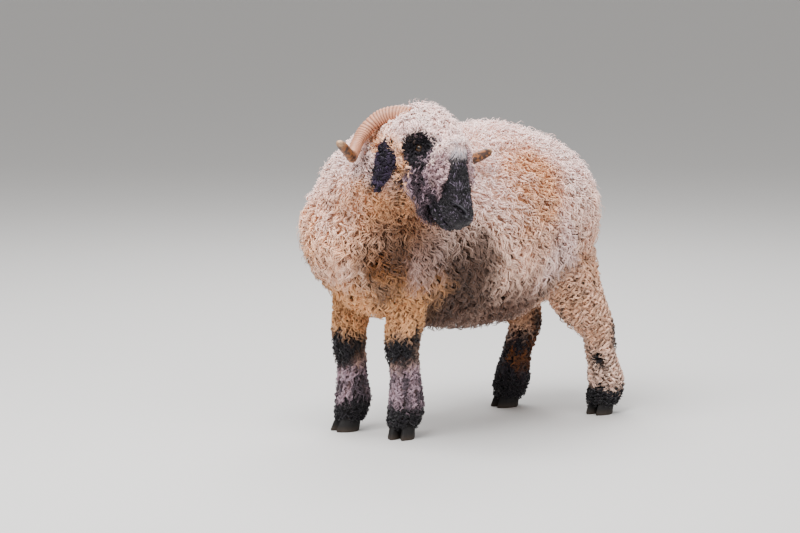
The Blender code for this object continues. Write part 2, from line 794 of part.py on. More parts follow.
def horn_cutter(side):
    plain = horn_tube(side, 2 * HORN_RIDGES + 1, ridged=False)
    return tube_object("cutter", plain, HORN_SIDES, SEAM_GAP + HORN_RIDGE, hidden=True)


def ear_cutter(side):
    return new_object("cutter", *closed_rings(ear_rings(side, grow=SEAM_GAP)), hidden=True)


def make_eye(side, name):
    return sphere("eye_" + name, head_placed(eye_centre(side)), EYE_RADIUS)


def near_face(point):
    """Whether a point over the head is too near an eye, an ear or a horn for a clump."""
    for side in (1, -1):
        away = point - head_placed(eye_centre(side))
        look = head_turned(eye_axes(side)[0])
        if np.linalg.norm(away - look * (look @ away)) < EYE_CLEAR and look @ away > 0:
            return True
        if np.linalg.norm(point - horn_tube(side, 30)["centre"], axis=1).min() < HORN_CLEAR:
            return True
        if np.linalg.norm(point - ear_rings(side).mean(axis=1), axis=1).min() < EAR_CLEAR:
            return True
    return False


def make_head():
    head = tube_object("head", head_tube(SKULL_SECTIONS, 20), 22)
    coat = head_tube(HEAD_WOOL_SECTIONS, 24)
    wool = tube_object("wool", coat, 18, core=True, hidden=True)
    along, _ = length_along(coat)
    last = along[-1] - 0.7 * HEAD_SPACING
    tufts = clumps(coat, HEAD_SPACING, HEAD_SPACING, last, HEAD_LIE, near_face, 4)
    apply_boolean(wool, "UNION", tufts)
    thin_out(wool, HEAD_WOOL_TRIANGLES)
    near, wide = EYE_HOLLOW
    hollows = [eye_tube("hollow", side, ((-0.01, near, near), (0.09, wide, wide)), 12) for side in (1, -1)]
    apply_boolean(wool, "DIFFERENCE", hollows)
    lids = [sphere("lids", head_placed(eye_centre(side)), EYE_RADIUS + LID_THICKNESS) for side in (1, -1)]
    jaw = tube_object("jaw", head_tube(JAW_SECTIONS, 15), 18, hidden=True)
    apply_boolean(head, "UNION", [wool, jaw, *lids])
    cutters = [neck_block(False), mouth()]
    for side in (1, -1):
        cutters += [horn_cutter(side), ear_cutter(side), nostril(side)]
        cutters.append(sphere("socket", head_placed(eye_centre(side)), EYE_RADIUS + SEAM_GAP))
        cutters.append(eye_tube("opening", side, ((0.006, *LID_OPEN), (0.03, *LID_OPEN)), 14))
    apply_boolean(head, "DIFFERENCE", cutters)
    return head


def leg_cutter(name):
    return tube_object("cutter", leg_tube(name), LEG_SIDES, SEAM_GAP, hidden=True)


def neck_tube():
    return within_facets(sections(NECK_KEYS, 13, NECK_ACROSS), NECK_SIDES)


def torso_tube():
    return sections(torso_keys(), 26, SIDE)


def make_neck():
    coat = neck_tube()
    neck = tube_object("neck", coat, NECK_SIDES, core=True)
    along, _ = length_along(coat)

    def skip(point):
        return inside_tube(torso_tube(), point, -TORSO_RELIEF * 1.2)

    apply_boolean(neck, "UNION", clumps(coat, NECK_SPACING, NECK_ROOT, along[-1], NECK_LIE, skip, 5))
    thin_out(neck, NECK_TRIANGLES, torso_tube())
    cutters = [neck_block(True), leg_cutter("front_left"), leg_cutter("front_right")]
    for side in (1, -1):
        cutters += [horn_cutter(side), ear_cutter(side)]
    apply_boolean(neck, "DIFFERENCE", cutters)
    return neck


def make_torso():
    coat = torso_tube()
    torso = tube_object("torso", sections(torso_keys(), 18, SIDE), 18, core=True)
    hidden_by = [neck_tube(), *(leg_tube(name) for name in FEET)]

    def skip(point):
        return any(inside_tube(tube, point, -TORSO_SPACING * 0.45) for tube in hidden_by)

    along, _ = length_along(coat)
    start, stop = TORSO_SPACING * 0.75, along[-1] - TORSO_SPACING * 0.75
    apply_boolean(torso, "UNION", clumps(coat, TORSO_SPACING, start, stop, TORSO_LIE, skip, 7))
    thin_out(torso, TORSO_TRIANGLES)
    cutters = [tube_object("cutter", neck_tube(), NECK_SIDES, SEAM_GAP, hidden=True)]
    cutters.append(tube_object("cutter", tail_tube(), TAIL_SIDES, SEAM_GAP, hidden=True))
    cutters += [leg_cutter(name) for name in FEET]
    cutters.append(horn_cutter(1))
    apply_boolean(torso, "DIFFERENCE", cutters)
    return torso


def tail_tube():
    return within_facets(sections(TAIL_KEYS, 12, SIDE), TAIL_SIDES)


def make_tail():
    coat = tail_tube()
    tail = tube_object("tail", coat, TAIL_SIDES, core=True)
    along, _ = length_along(coat)
    tufts = clumps(coat, TAIL_SPACING, TAIL_ROOT, along[-1] - 0.04, TAIL_LIE, bare_nowhere, 9)
    apply_boolean(tail, "UNION", tufts)
    thin_out(tail, TAIL_TRIANGLES, torso_tube())
    return tail


def bare_nowhere(point):
    return False


def make_leg(name, seed):
    coat = leg_tube(name)
    leg = tube_object("leg_" + name, coat, LEG_SIDES, core=True)
    along, _ = length_along(coat)
    heights = coat["centre"][:, 2]
    first = np.interp(-LEG_WOOL_TOP, -heights, along)
    last = np.interp(-LEG_WOOL_FOOT, -heights, along)

    def skip(point):
        return inside_tube(torso_tube(), point, -TORSO_RELIEF * 1.5)

    apply_boolean(leg, "UNION", clumps(coat, LEG_SPACING, first, last, LEG_LIE, skip, seed))
    thin_out(leg, LEG_TRIANGLES, torso_tube())
    cutters = [
        new_object("cutter", *closed_rings(claw_rings(FEET[name], half, SEAM_GAP)), hidden=True)
        for half in (-1, 1)
    ]
    apply_boolean(leg, "DIFFERENCE", cutters)
    return leg


def centre_on_floor(nodes):
    """Moves every node alike, so that the middle of the box round them all is over the origin."""
    places = np.array([v.co for node in nodes for v in node.data.vertices])
    middle = (places.min(axis=0) + places.max(axis=0)) / 2
    for node in nodes:
        node.data.transform(Matrix.Translation((-middle[0], -middle[1], 0.0)))
        node.hide_render = False


def main():
    for old in list(bpy.data.objects):
        bpy.data.objects.remove(old)
    fleece = finished("fleece", (0.72, 0.63, 0.50), 0.95)
    dark = finished("dark wool", (0.035, 0.030, 0.032), 0.9)
    horn = finished("horn", (0.46, 0.31, 0.20), 0.55)
    shell = finished("claw horn", (0.10, 0.08, 0.07), 0.6)
    amber = finished("eye", (0.25, 0.15, 0.05), 0.2)
    finish_node(make_torso(), fleece)
    finish_node(make_neck(), fleece)
    finish_node(make_head(), fleece)
    finish_node(make_tail(), fleece)
    for number, (name, foot) in enumerate(FEET.items()):
        finish_node(make_leg(name, 20 + number), fleece)
        for half in (-1, 1):
            which = "outer" if (half > 0) == (foot[0] > 0) else "inner"
            claw = new_object(f"hoof_{name}_{which}", *closed_rings(claw_rings(foot, half)))
            finish_node(claw, shell)
    for side, name in ((1, "left"), (-1, "right")):
        finish_node(make_eye(side, name), amber)
        finish_node(tube_object("horn_" + name, horn_tube(side, 2 * HORN_RIDGES + 1), HORN_SIDES), horn)
        finish_node(new_object("ear_" + name, *closed_rings(ear_rings(side))), dark)
    centre_on_floor(list(bpy.context.scene.objects))


main()
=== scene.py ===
"""A Valais Blacknose ewe in her curly fleece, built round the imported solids.

The skin is one closed surface grown over rows of elliptical sections, and the coat is solid locks of wool
rooted on it. Places are worked out in the animal's own frame, in metres: she faces -Y, her left is +X.
The head has its own axes: forward, left and up of the midpoint between the eyes.
"""

import json
import math

import bpy
import numpy as np
from bpy.props import FloatProperty, FloatVectorProperty, PointerProperty
from mathutils import Matrix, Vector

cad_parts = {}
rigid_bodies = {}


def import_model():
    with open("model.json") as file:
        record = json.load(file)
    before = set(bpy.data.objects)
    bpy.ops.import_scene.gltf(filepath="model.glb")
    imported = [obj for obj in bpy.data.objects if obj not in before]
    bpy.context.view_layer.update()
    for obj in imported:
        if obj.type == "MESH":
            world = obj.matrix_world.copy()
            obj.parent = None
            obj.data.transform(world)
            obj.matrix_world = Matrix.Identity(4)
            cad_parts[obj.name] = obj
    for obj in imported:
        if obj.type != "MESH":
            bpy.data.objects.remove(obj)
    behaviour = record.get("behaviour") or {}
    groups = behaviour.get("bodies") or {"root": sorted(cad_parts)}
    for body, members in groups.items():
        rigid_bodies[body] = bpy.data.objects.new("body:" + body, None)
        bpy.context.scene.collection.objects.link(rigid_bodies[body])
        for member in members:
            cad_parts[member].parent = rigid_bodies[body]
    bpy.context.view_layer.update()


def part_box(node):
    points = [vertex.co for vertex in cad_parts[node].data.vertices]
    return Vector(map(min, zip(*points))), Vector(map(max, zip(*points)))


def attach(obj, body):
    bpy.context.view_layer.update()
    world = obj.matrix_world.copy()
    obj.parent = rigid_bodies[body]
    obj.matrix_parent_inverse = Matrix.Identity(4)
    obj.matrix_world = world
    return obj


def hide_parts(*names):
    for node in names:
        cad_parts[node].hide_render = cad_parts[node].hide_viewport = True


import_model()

bl_info = {
    "name": "Blacknose Sheep",
    "version": (1, 0, 0),
    "blender": (4, 5, 0),
    "location": "3D View > Sidebar > Sheep",
    "description": "Skin, horns, eyes, claws and curly fleece of a standing ewe",
    "category": "Object",
}

SIDE = np.array((1.0, 0.0, 0.0))
ALONG = np.array((0.0, 1.0, 0.0))
DOWN = np.array((0.0, 0.0, -1.0))
SIDES = ((1, "left"), (-1, "right"))

# Sizes of the body over its fleece, as the solids have them.
BACK_HEIGHT = 0.842
BELLY_HEIGHT = 0.262
BODY_LENGTH = 0.900
HALF_WIDTH = 0.258
CHEST_FRONT = -0.490
TORSO_RELIEF = 0.034
SHANK_RELIEF = 0.012
SHANK_RADIUS = 0.049
ELBOW_HEIGHT = 0.46
KNEE_HEIGHT = 0.265
STIFLE_HEIGHT = 0.44
HOCK_HEIGHT = 0.25
FETLOCK_HEIGHT = 0.095
CORONET_HEIGHT = 0.042
TAIL_HALF_WIDTH = 0.042

# Share of the torso's length, of the back's and the belly's height and of the half width, and of the relief.
TORSO_SHARES = (
    (0.00, 0.640, 1.980, 0.00, 0.60),
    (0.05, 0.790, 1.560, 0.54, 0.95),
    (0.13, 0.890, 1.330, 0.75, 1.00),
    (0.26, 0.945, 1.170, 0.86, 1.00),
    (0.42, 0.975, 1.040, 0.94, 1.00),
    (0.58, 0.997, 1.000, 1.00, 1.00),
    (0.70, 1.002, 1.060, 0.99, 1.00),
    (0.81, 0.978, 1.220, 0.93, 1.00),
    (0.90, 0.945, 1.440, 0.81, 1.00),
    (0.96, 0.878, 1.720, 0.61, 0.90),
    (1.00, 0.730, 2.170, 0.00, 0.50),
)

# Keys of a tube: x, y, z, half width, half depth, depth of the coat.
NECK_KEYS = (
    (-0.060, -0.240, 0.565, 0.085, 0.085, 0.000),
    (-0.028, -0.290, 0.592, 0.130, 0.138, 0.010),
    (0.016, -0.330, 0.632, 0.157, 0.170, 0.030),
    (0.074, -0.357, 0.688, 0.145, 0.156, 0.030),
    (0.146, -0.363, 0.738, 0.128, 0.132, 0.026),
    (0.235, -0.352, 0.775, 0.106, 0.108, 0.022),
)
NECK_ACROSS = np.array((0.3, 0.9, 0.0)) / math.hypot(0.3, 0.9)
TAIL_KEYS = (
    (0.000, 0.330, 0.700, 0.030, 0.034, 0.000),
    (0.000, 0.375, 0.690, 0.036, 0.036, 0.004),
    (0.000, 0.408, 0.640, TAIL_HALF_WIDTH, 0.032, 0.010),
    (0.004, 0.420, 0.560, TAIL_HALF_WIDTH, 0.032, 0.012),
    (0.008, 0.418, 0.470, TAIL_HALF_WIDTH, 0.030, 0.012),
    (0.010, 0.410, 0.390, 0.000, 0.000, 0.004),
)

# Where each hoof stands, and the angle by which its toes turn to the animal's left.
FEET = {
    "front_left": (0.078, -0.268, math.radians(30)),
    "front_right": (-0.102, -0.305, math.radians(-8)),
    "hind_left": (0.148, 0.402, math.radians(12)),
    "hind_right": (-0.105, 0.278, math.radians(-6)),
}

# The head's place and turn, and the bend of the line down its middle.
HEAD_PLACE = np.array((0.285, -0.346, 0.803))
HEAD_TURN = math.radians(9)
HEAD_TILT = math.radians(6)
NOSE_PITCH = math.radians(42)
PITCH_SWING = math.radians(18)
PITCH_SPAN = 0.07
NOSE_FRONT = 0.235

# Sections of the skull and of the jaw: distance along the line, height over it, depth below it, half width.
SKULL_SECTIONS = (
    (-0.115, 0.010, 0.030, 0.000),
    (-0.100, 0.034, 0.060, 0.044),
    (-0.060, 0.046, 0.072, 0.060),
    (-0.010, 0.044, 0.072, 0.058),
    (0.035, 0.038, 0.066, 0.051),
    (0.080, 0.034, 0.058, 0.046),
    (0.130, 0.033, 0.052, 0.044),
    (0.170, 0.032, 0.047, 0.044),
    (0.202, 0.026, 0.044, 0.041),
    (0.220, 0.015, 0.042, 0.034),
    (0.230, 0.002, 0.036, 0.022),
    (NOSE_FRONT, -0.012, 0.022, 0.000),
)
JAW_SECTIONS = (
    (-0.075, -0.030, 0.060, 0.000),
    (-0.055, -0.020, 0.090, 0.040),
    (-0.010, -0.020, 0.102, 0.045),
    (0.045, -0.020, 0.092, 0.043),
    (0.095, -0.020, 0.080, 0.040),
    (0.145, -0.024, 0.074, 0.038),
    (0.180, -0.029, 0.071, 0.037),
    (0.206, -0.032, 0.066, 0.030),
    (0.220, -0.036, 0.060, 0.020),
    (0.226, -0.044, 0.054, 0.000),
)
HEAD_WOOL_SECTIONS = (
    (-0.150, 0.020, 0.050, 0.000, 0.000),
    (-0.130, 0.048, 0.094, 0.070, 0.020),
    (-0.090, 0.070, 0.120, 0.100, 0.024),
    (-0.040, 0.097, 0.130, 0.106, 0.024),
    (0.010, 0.091, 0.128, 0.098, 0.020),
    (0.055, 0.060, 0.124, 0.084, 0.018),
    (0.100, 0.041, 0.112, 0.070, 0.015),
    (0.138, 0.024, 0.096, 0.056, 0.010),
    (0.166, 0.000, 0.078, 0.042, 0.006),
    (0.178, -0.022, 0.056, 0.000, 0.000),
)

# Eyes, nostrils and the line of the mouth, in the head's own measures.
EYE_PLACE = np.array((0.000, 0.0455, -0.008))
EYE_RADIUS = 0.0145
CORNEA_RISE = 0.0006
EYE_LOOK = (0.38, 0.92, 0.08)
LID_OPEN = (0.0125, 0.0085)
NOSTRIL_PATH = (
    (0.2180, 0.0080, 0.0160),
    (0.2105, 0.0165, 0.0215),
    (0.2000, 0.0260, 0.0205),
    (0.1890, 0.0345, 0.0155),
    (0.1780, 0.0395, 0.0095),
)
NOSTRIL_RADII = (0.0040, 0.0056, 0.0060, 0.0046, 0.0026)
MOUTH_LINE = ((0.158, -0.041), (0.175, -0.042), (0.192, -0.042), (0.210, -0.037), (0.244, -0.030))
# How far the bridge of the nose swells past the skull's sections, at distances along it.
BRIDGE_SWELL = ((0.020, 0.0), (0.050, 0.013), (0.078, 0.019), (0.105, 0.016), (0.135, 0.008), (0.175, 0.0))

# Horns, a narrowing screw about an axis through both sides of the head.
HORN_AXIS = (-0.089, 0.009)
HORN_WIND = 0.069
HORN_LAST_WIND = 0.040
HORN_ROOT_SIDE = 0.036
HORN_TIP_SIDE = 0.306
HORN_SPREAD = 0.52
HORN_FIRST_ANGLE = math.radians(62)
HORN_LAST_ANGLE = math.radians(343)
HORN_RADIUS = 0.0245
HORN_FLATTEN = 0.80
HORN_TAPER = 0.45
HORN_TIP = 0.06
HORN_RIDGES = 44

# Ears, shallow cups that hang from the sides of the head.
EAR_ROOT = (-0.062, 0.080, 0.004)
EAR_TIP = (-0.070, 0.122, -0.116)
EAR_HALF_WIDTH = 0.029
EAR_CUP = 0.013
EAR_ACROSS = np.array((0.788, -0.616, 0.0))
# The ear's shell under its wool: shares of its length and its width there, how much of the solid ear's width
# it takes, and half its thickness part way down.
EAR_SHARES = (0.0, 0.10, 0.22, 0.42, 0.62, 0.80, 0.92, 1.0)
EAR_LEAF = (0.80, 1.02, 1.08, 1.00, 0.80, 0.60, 0.44, 0.20)
EAR_SHELL = 0.93
EAR_HALF_THICKNESS = 0.0022

# Claws, two on each foot.
CLAW_LENGTH = 0.068
CLAW_WIDTH = 0.034
CLAW_GAP = 0.003
CLAW_LEAN = 0.014
CLAW_AHEAD = 0.018
CLAW_POINT = 0.45
# At shares of a claw's height: its size, and the share of its lean.
CLAW_SIZES = ((0.0, 0.965), (0.05, 1.005), (0.12, 1.02), (0.55, 0.95), (1.0, 0.82))
CLAW_BACK = ((0.0, 0.0), (0.12, 0.1), (0.55, 0.5), (1.0, 1.0))


def unit(vectors):
    """Each vector over its own length."""
    return vectors / np.maximum(np.linalg.norm(vectors, axis=-1, keepdims=True), 1e-12)


def smooth(value, start, stop):
    """A smooth step from 0 at start to 1 at stop: three times the square less twice the cube."""
    share = np.clip((value - start) / (stop - start), 0, 1)
    return share * share * (3 - 2 * share)


def around(sides):
    """Angles of even steps round a ring."""
    return np.arange(sides) * 2 * math.pi / sides


def bell(gap, width):
    """A bell curve: 1 where the gap is nothing, falling to about a third where it is the width."""
    return np.exp(-((gap / width) ** 2))


def read_rows(value, rows):
    """The second numbers of rows, read in straight steps where the first ones are the value."""
    first, second = np.array(rows).T
    return np.interp(value, first, second)


def spline_rows(keys, count):
    """Rows read along a Catmull-Rom curve through the key rows, evenly in the key number."""
    keys = np.asarray(keys, float)
    padded = np.vstack((2 * keys[0] - keys[1], keys, 2 * keys[-1] - keys[-2]))
    at = np.linspace(0, len(keys) - 1, count)
    i = np.minimum(at.astype(int), len(keys) - 2)
    t = (at - i)[:, None]
    p0, p1, p2, p3 = (padded[i + k] for k in range(4))
    square = (2 * p0 - 5 * p1 + 4 * p2 - p3) * t**2
    cube = (3 * p1 - p0 - 3 * p2 + p3) * t**3
    return 0.5 * (2 * p1 + (p2 - p0) * t + square + cube)


def sections(keys, count, across):
    """Elliptical sections along a path through keys of x, y, z, half width, half depth and coat depth.

    The squares of the radii are interpolated, so a radius that falls to nothing ends in a round.
    """
    keys = np.array(keys, float)
    keys[:, 3:5] **= 2
    rows = spline_rows(keys, count)
    centre = rows[:, :3]
    radii = np.sqrt(np.maximum(rows[:, 3:5], 1e-9))
    way = unit(np.gradient(centre, axis=0))
    a_axis = unit(across - way * (way @ across)[:, None])
    return {
        "centre": centre,
        "radii": radii,
        "relief": np.clip(rows[:, 5], 0, None),
        "a": a_axis,
        "b": np.cross(way, a_axis),
        "way": way,
    }


def ring_points(tube, sides, core=True):
    """Rings of points on the tube's sections, less the depth of the coat where the core is wanted."""
    turn = around(sides)
    radii = tube["radii"] - (tube["relief"][:, None] if core else 0.0)
    radii = np.maximum(radii, 1e-4)
    across = tube["a"][:, None] * (radii[:, :1] * np.cos(turn))[:, :, None]
    deep = tube["b"][:, None] * (radii[:, 1:] * np.sin(turn))[:, :, None]
    return tube["centre"][:, None] + across + deep


def closed_rings(rings):
    """Points and triangles of a closed skin over rings of points, with a fan to the middle of each end."""
    count, sides = rings.shape[:2]
    points = np.vstack((rings.reshape(-1, 3), rings[0].mean(axis=0), rings[-1].mean(axis=0)))
    row, side = np.meshgrid(np.arange(count - 1), np.arange(sides), indexing="ij")
    after = (side + 1) % sides
    low, low_next = row * sides + side, row * sides + after
    high, high_next = low + sides, low_next + sides
    walls = np.stack((low, low_next, high_next, low, high_next, high), axis=-1).reshape(-1, 3)
    k = np.arange(sides)
    k_next = (k + 1) % sides
    base = (count - 1) * sides
    first = np.stack((np.full(sides, count * sides), k_next, k), axis=-1)
    last = np.stack((np.full(sides, count * sides + 1), base + k, base + k_next), axis=-1)
    return points, np.vstack((walls, first, last))


def torso_tube(count=60):
    """Sections of the trunk, from the shares of its length, heights and width."""
    keys = []
    for share, back, belly, width, relief in TORSO_SHARES:
        top, bottom = back * BACK_HEIGHT, belly * BELLY_HEIGHT
        half = (top - bottom) / 2 if width else 0.0
        y = CHEST_FRONT + share * BODY_LENGTH
        keys.append((0.0, y, (top + bottom) / 2, width * HALF_WIDTH, half, relief * TORSO_RELIEF))
    return sections(keys, count, SIDE)


def coronet_keys(x, y):
    """The last two keys of a leg, just over its hoof and inside it."""
    r = SHANK_RADIUS
    return (
        (x, y, CORONET_HEIGHT + 0.004, r * 0.98, r * 1.02, 0.009),
        (x, y, CORONET_HEIGHT - 0.010, r * 0.90, r * 0.94, 0.009),
    )


def front_leg(side, x, y):
    """Keys of a front leg over a hoof at x, y, from the elbow down. side is 1 on the left."""
    r, relief = SHANK_RADIUS, SHANK_RELIEF
    return (
        (side * 0.095, y + 0.010, ELBOW_HEIGHT + 0.055, 0.045, 0.055, 0.004),
        (side * 0.098, y + 0.020, ELBOW_HEIGHT, 0.062, 0.078, 0.010),
        ((side * 0.098 + x) / 2, y + 0.008, 0.36, 0.058, 0.062, relief),
        (x, y - 0.004, KNEE_HEIGHT, r * 1.08, r * 1.08, relief),
        (x, y + 0.006, 0.18, r * 0.95, r * 0.95, relief),
        (x, y + 0.010, FETLOCK_HEIGHT, r * 1.08, r * 1.10, relief),
        *coronet_keys(x, y),
    )


def hind_leg(side, x, y, hock_y, stifle_y):
    """Keys of a hind leg over a hoof at x, y, from the thigh down."""
    r, relief = SHANK_RADIUS, SHANK_RELIEF
    return (
        (side * 0.110, stifle_y + 0.02, STIFLE_HEIGHT + 0.10, 0.060, 0.090, 0.010),
        (side * 0.122, stifle_y + 0.01, STIFLE_HEIGHT, 0.078, 0.105, 0.014),
        ((side * 0.130 + x) / 2, (stifle_y + hock_y) / 2 - 0.004, 0.340, 0.064, 0.082, relief),
        (x, hock_y, HOCK_HEIGHT, r * 1.00, r * 1.14, relief),
        (x, (hock_y + y) / 2 + 0.006, 0.17, r * 0.92, r * 0.95, relief),
        (x, y + 0.014, FETLOCK_HEIGHT, r * 1.05, r * 1.10, relief),
        *coronet_keys(x, y),
    )


def leg_tube(name, count=50):
    """Sections of the leg of that name."""
    x, y, _ = FEET[name]
    if name == "hind_left":
        keys = hind_leg(1, x, y, 0.374, 0.262)
    elif name == "hind_right":
        keys = hind_leg(-1, x, y, 0.335, 0.280)
    else:
        keys = front_leg(1 if x > 0 else -1, x, y)
    return sections(keys, count, SIDE)


def head_axes():
    """Columns are the head's forward, left and up: a tilt about its length, then a turn about the upright."""
    ct, st = math.cos(HEAD_TURN), math.sin(HEAD_TURN)
    cx, sx = math.cos(-HEAD_TILT), math.sin(-HEAD_TILT)
    turn = np.array(((ct, -st, 0), (st, ct, 0), (0, 0, 1)))
    tilt = np.array(((1, 0, 0), (0, cx, -sx), (0, sx, cx)))
    return turn @ tilt


HEAD_AXES = head_axes()


def head_turned(vectors):
    """Directions in the head's own frame, told in the animal's frame."""
    return np.asarray(vectors) @ HEAD_AXES.T


def head_placed(points):
    """Places in the head's own frame, told in the animal's frame."""
    return head_turned(points) + HEAD_PLACE


def in_head(points):
    """Places in the animal's frame, told in the head's own frame."""
    return (points - HEAD_PLACE) @ HEAD_AXES


def eye_centre(side):
    """Middle of an eye in the head's own frame."""
    return EYE_PLACE * (1, side, 1)


# The solids are centred over the floor's origin, which moves the animal's frame by MIDDLE.
EYE_BOX = np.array([list(corner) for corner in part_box("eye_left")])
MIDDLE = head_placed(eye_centre(1)) - EYE_BOX.mean(axis=0)

# Distances along the head's midline between which a place is measured, and the steps that are tried.
LINE_START = -0.16
LINE_STOP = 0.27
LINE_STEPS = 220


def head_line(along):
    """Midline of the head at distances along it: forward, up and pitch, by adding up small steps."""
    along = np.atleast_1d(np.asarray(along, float))
    steps = np.linspace(0, 1, 40)[:, None] * along
    pitch = NOSE_PITCH + PITCH_SWING * np.tanh(steps / PITCH_SPAN)
    return along * np.cos(pitch).mean(axis=0), -along * np.sin(pitch).mean(axis=0), pitch[-1]


def head_point(along, aside, over):
    """Points at distances along the midline, to its left and over it, in the head's frame."""
    forward, up, pitch = head_line(along)
    aside = np.broadcast_to(aside, forward.shape)
    return np.stack((forward + over * np.sin(pitch), aside, up + over * np.cos(pitch)), axis=-1)


def head_measures(points):
    """Along, aside and over of places in the animal's frame: the nearest step of the midline is taken."""
    local = in_head(points)
    along = np.linspace(LINE_START, LINE_STOP, LINE_STEPS)
    forward, up, pitch = head_line(along)
    gap = (local[:, None, 0] - forward) ** 2 + (local[:, None, 2] - up) ** 2
    near = np.argmin(gap, axis=1)
    ahead, above = local[:, 0] - forward[near], local[:, 2] - up[near]
    sine, cosine = np.sin(pitch[near]), np.cos(pitch[near])
    slide = ahead * cosine - above * sine
    return along[near] + slide, local[:, 1], ahead * sine + above * cosine


def eye_look(side):
    """Line of sight of an eye, in the head's own frame."""
    return unit(np.array(EYE_LOOK) * (1, side, 1))


def from_eye(points, side):
    """Depth of places along an eye's line of sight, the way off that line to each, and that way's length."""
    look = head_turned(eye_look(side))
    away = points - head_placed(eye_centre(side))
    depth = away @ look
    off = away - depth[:, None] * look
    return depth, off, np.linalg.norm(off, axis=1)


def head_set(tube):
    """A tube made in the head's own frame, moved to the animal's frame."""
    tube["centre"] = head_placed(tube["centre"])
    for name in ("a", "b", "way"):
        tube[name] = head_turned(tube[name])
    return tube


def head_tube(rows, count):
    """Sections along the head's midline, from rows of its measures."""
    keys = []
    for along, high, low, half, *relief in rows:
        middle = (high - low) / 2
        deep = (high + low) / 2 if half else 0.0
        centre = head_point(along, 0.0, middle)[0]
        keys.append((*centre, half, deep, relief[0] if relief else 0.0))
    return head_set(sections(keys, count, ALONG))


TUBES = {
    "torso": torso_tube(),
    "neck": sections(NECK_KEYS, 40, NECK_ACROSS),
    "head": head_tube(HEAD_WOOL_SECTIONS, 50),
    "tail": sections(TAIL_KEYS, 30, SIDE),
}
TUBES.update({"leg_" + name: leg_tube(name) for name in FEET})

# Where each tube's unwrap lies on the coat's own map: left, bottom, width, height.
MAP_TILES = {
    "torso": (0.01, 0.01, 0.98, 0.50),
    "neck": (0.01, 0.53, 0.47, 0.22),
    "head": (0.51, 0.53, 0.47, 0.22),
    "leg_front_left": (0.01, 0.77, 0.22, 0.20),
    "leg_front_right": (0.25, 0.77, 0.22, 0.20),
    "leg_hind_left": (0.49, 0.77, 0.22, 0.20),
    "leg_hind_right": (0.73, 0.77, 0.13, 0.20),
    "tail": (0.88, 0.77, 0.10, 0.20),
}


def near_tube(tube, points):
    """Rough distance of points from a tube's core, the section each is nearest, and its angle round it."""
    steps = [np.linalg.norm(points - centre, axis=1) for centre in tube["centre"]]
    near = np.argmin(np.array(steps), axis=0)
    away = points - tube["centre"][near]
    across = (away * tube["a"][near]).sum(axis=1)
    deep = (away * tube["b"][near]).sum(axis=1)
    beyond = (away * tube["way"][near]).sum(axis=1)
    radii = np.maximum(tube["radii"][near] - tube["relief"][near, None], 0.004)
    turn = np.arctan2(deep / radii[:, 1], across / radii[:, 0])
    edge = np.hypot(radii[:, 0] * np.cos(turn), radii[:, 1] * np.sin(turn))
    flat = np.hypot(across, deep)
    inner = (near > 0) & (near < len(tube["centre"]) - 1)
    distance = np.where(inner, flat - edge, np.hypot(np.maximum(flat - edge, 0), beyond))
    return distance, near, turn


def coat_ground(points):
    """Depth of the coat and place on the coat's map for points on the skin.

    The depth is a mean over the tubes, weighted by how near each one is; the map takes the nearest tube.
    """
    found = {name: near_tube(tube, points) for name, tube in TUBES.items()}
    names = list(found)
    distance = np.array([np.abs(found[name][0]) for name in names])
    weight = np.exp(-distance / 0.008) + 1e-12
    relief = np.array([TUBES[name]["relief"][found[name][1]] for name in names])
    depth = (weight * relief).sum(axis=0) / weight.sum(axis=0)
    best = np.argmin(distance, axis=0)
    place = np.zeros((len(points), 2))
    for i, name in enumerate(names):
        chosen = best == i
        left, bottom, wide, high = MAP_TILES[name]
        share = found[name][1][chosen] / (len(TUBES[name]["centre"]) - 1)
        place[chosen, 0] = left + wide * share
        place[chosen, 1] = bottom + high * (found[name][2][chosen] / (2 * math.pi) + 0.5)
    return depth, place, np.array(names)[best]


def lattice_noise(points, size, seed):
    """Smooth noise from -1 to 1: random values on a lattice of that size, blended between its corners."""
    table = np.random.default_rng(seed).uniform(-1, 1, (32, 32, 32))
    at = np.asarray(points) / size
    cell = np.floor(at).astype(int)
    share = at - cell
    share = share * share * (3 - 2 * share)
    total = np.zeros(len(at))
    for corner in np.ndindex(2, 2, 2):
        weight = np.prod(np.where(np.array(corner), share, 1 - share), axis=1)
        i, j, k = ((cell + corner) % 32).T
        total += weight * table[i, j, k]
    return total


# Colours of the coat, as linear red, green and blue.
CREAM = np.array((0.93, 0.63, 0.50))
WHITE = np.array((0.95, 0.71, 0.675))
TAN = np.array((0.74, 0.39, 0.215))
ORANGE = np.array((0.78, 0.39, 0.165))
RUST = np.array((0.20, 0.072, 0.022))
# Dull brown of stained wool, laid on the flank, the belly and under the neck, where it is also painted shade.
EARTH_AND_SHADE = np.array((0.118, 0.064, 0.046))
BLACK = np.array((0.009, 0.007, 0.010))
PLUM = np.array((0.100, 0.062, 0.078))
LILAC = np.array((0.60, 0.41, 0.49))
GOLD = np.array((0.82, 0.385, 0.145))
ASH = np.array((0.62, 0.60, 0.66))
# Painted highlight on the upper edge of the nostrils.
NOSTRIL_RIM_HIGHLIGHT = np.array((0.075, 0.072, 0.085))
RINGLETS = GOLD * 0.80 + CREAM * 0.20
ROSE = LILAC * 0.66 + TAN * 0.12
# Lilac cream, darkened as painted shade, for the chest under the chin.
LILAC_CREAM_IN_SHADE = CREAM * 0.50 + LILAC * 0.25
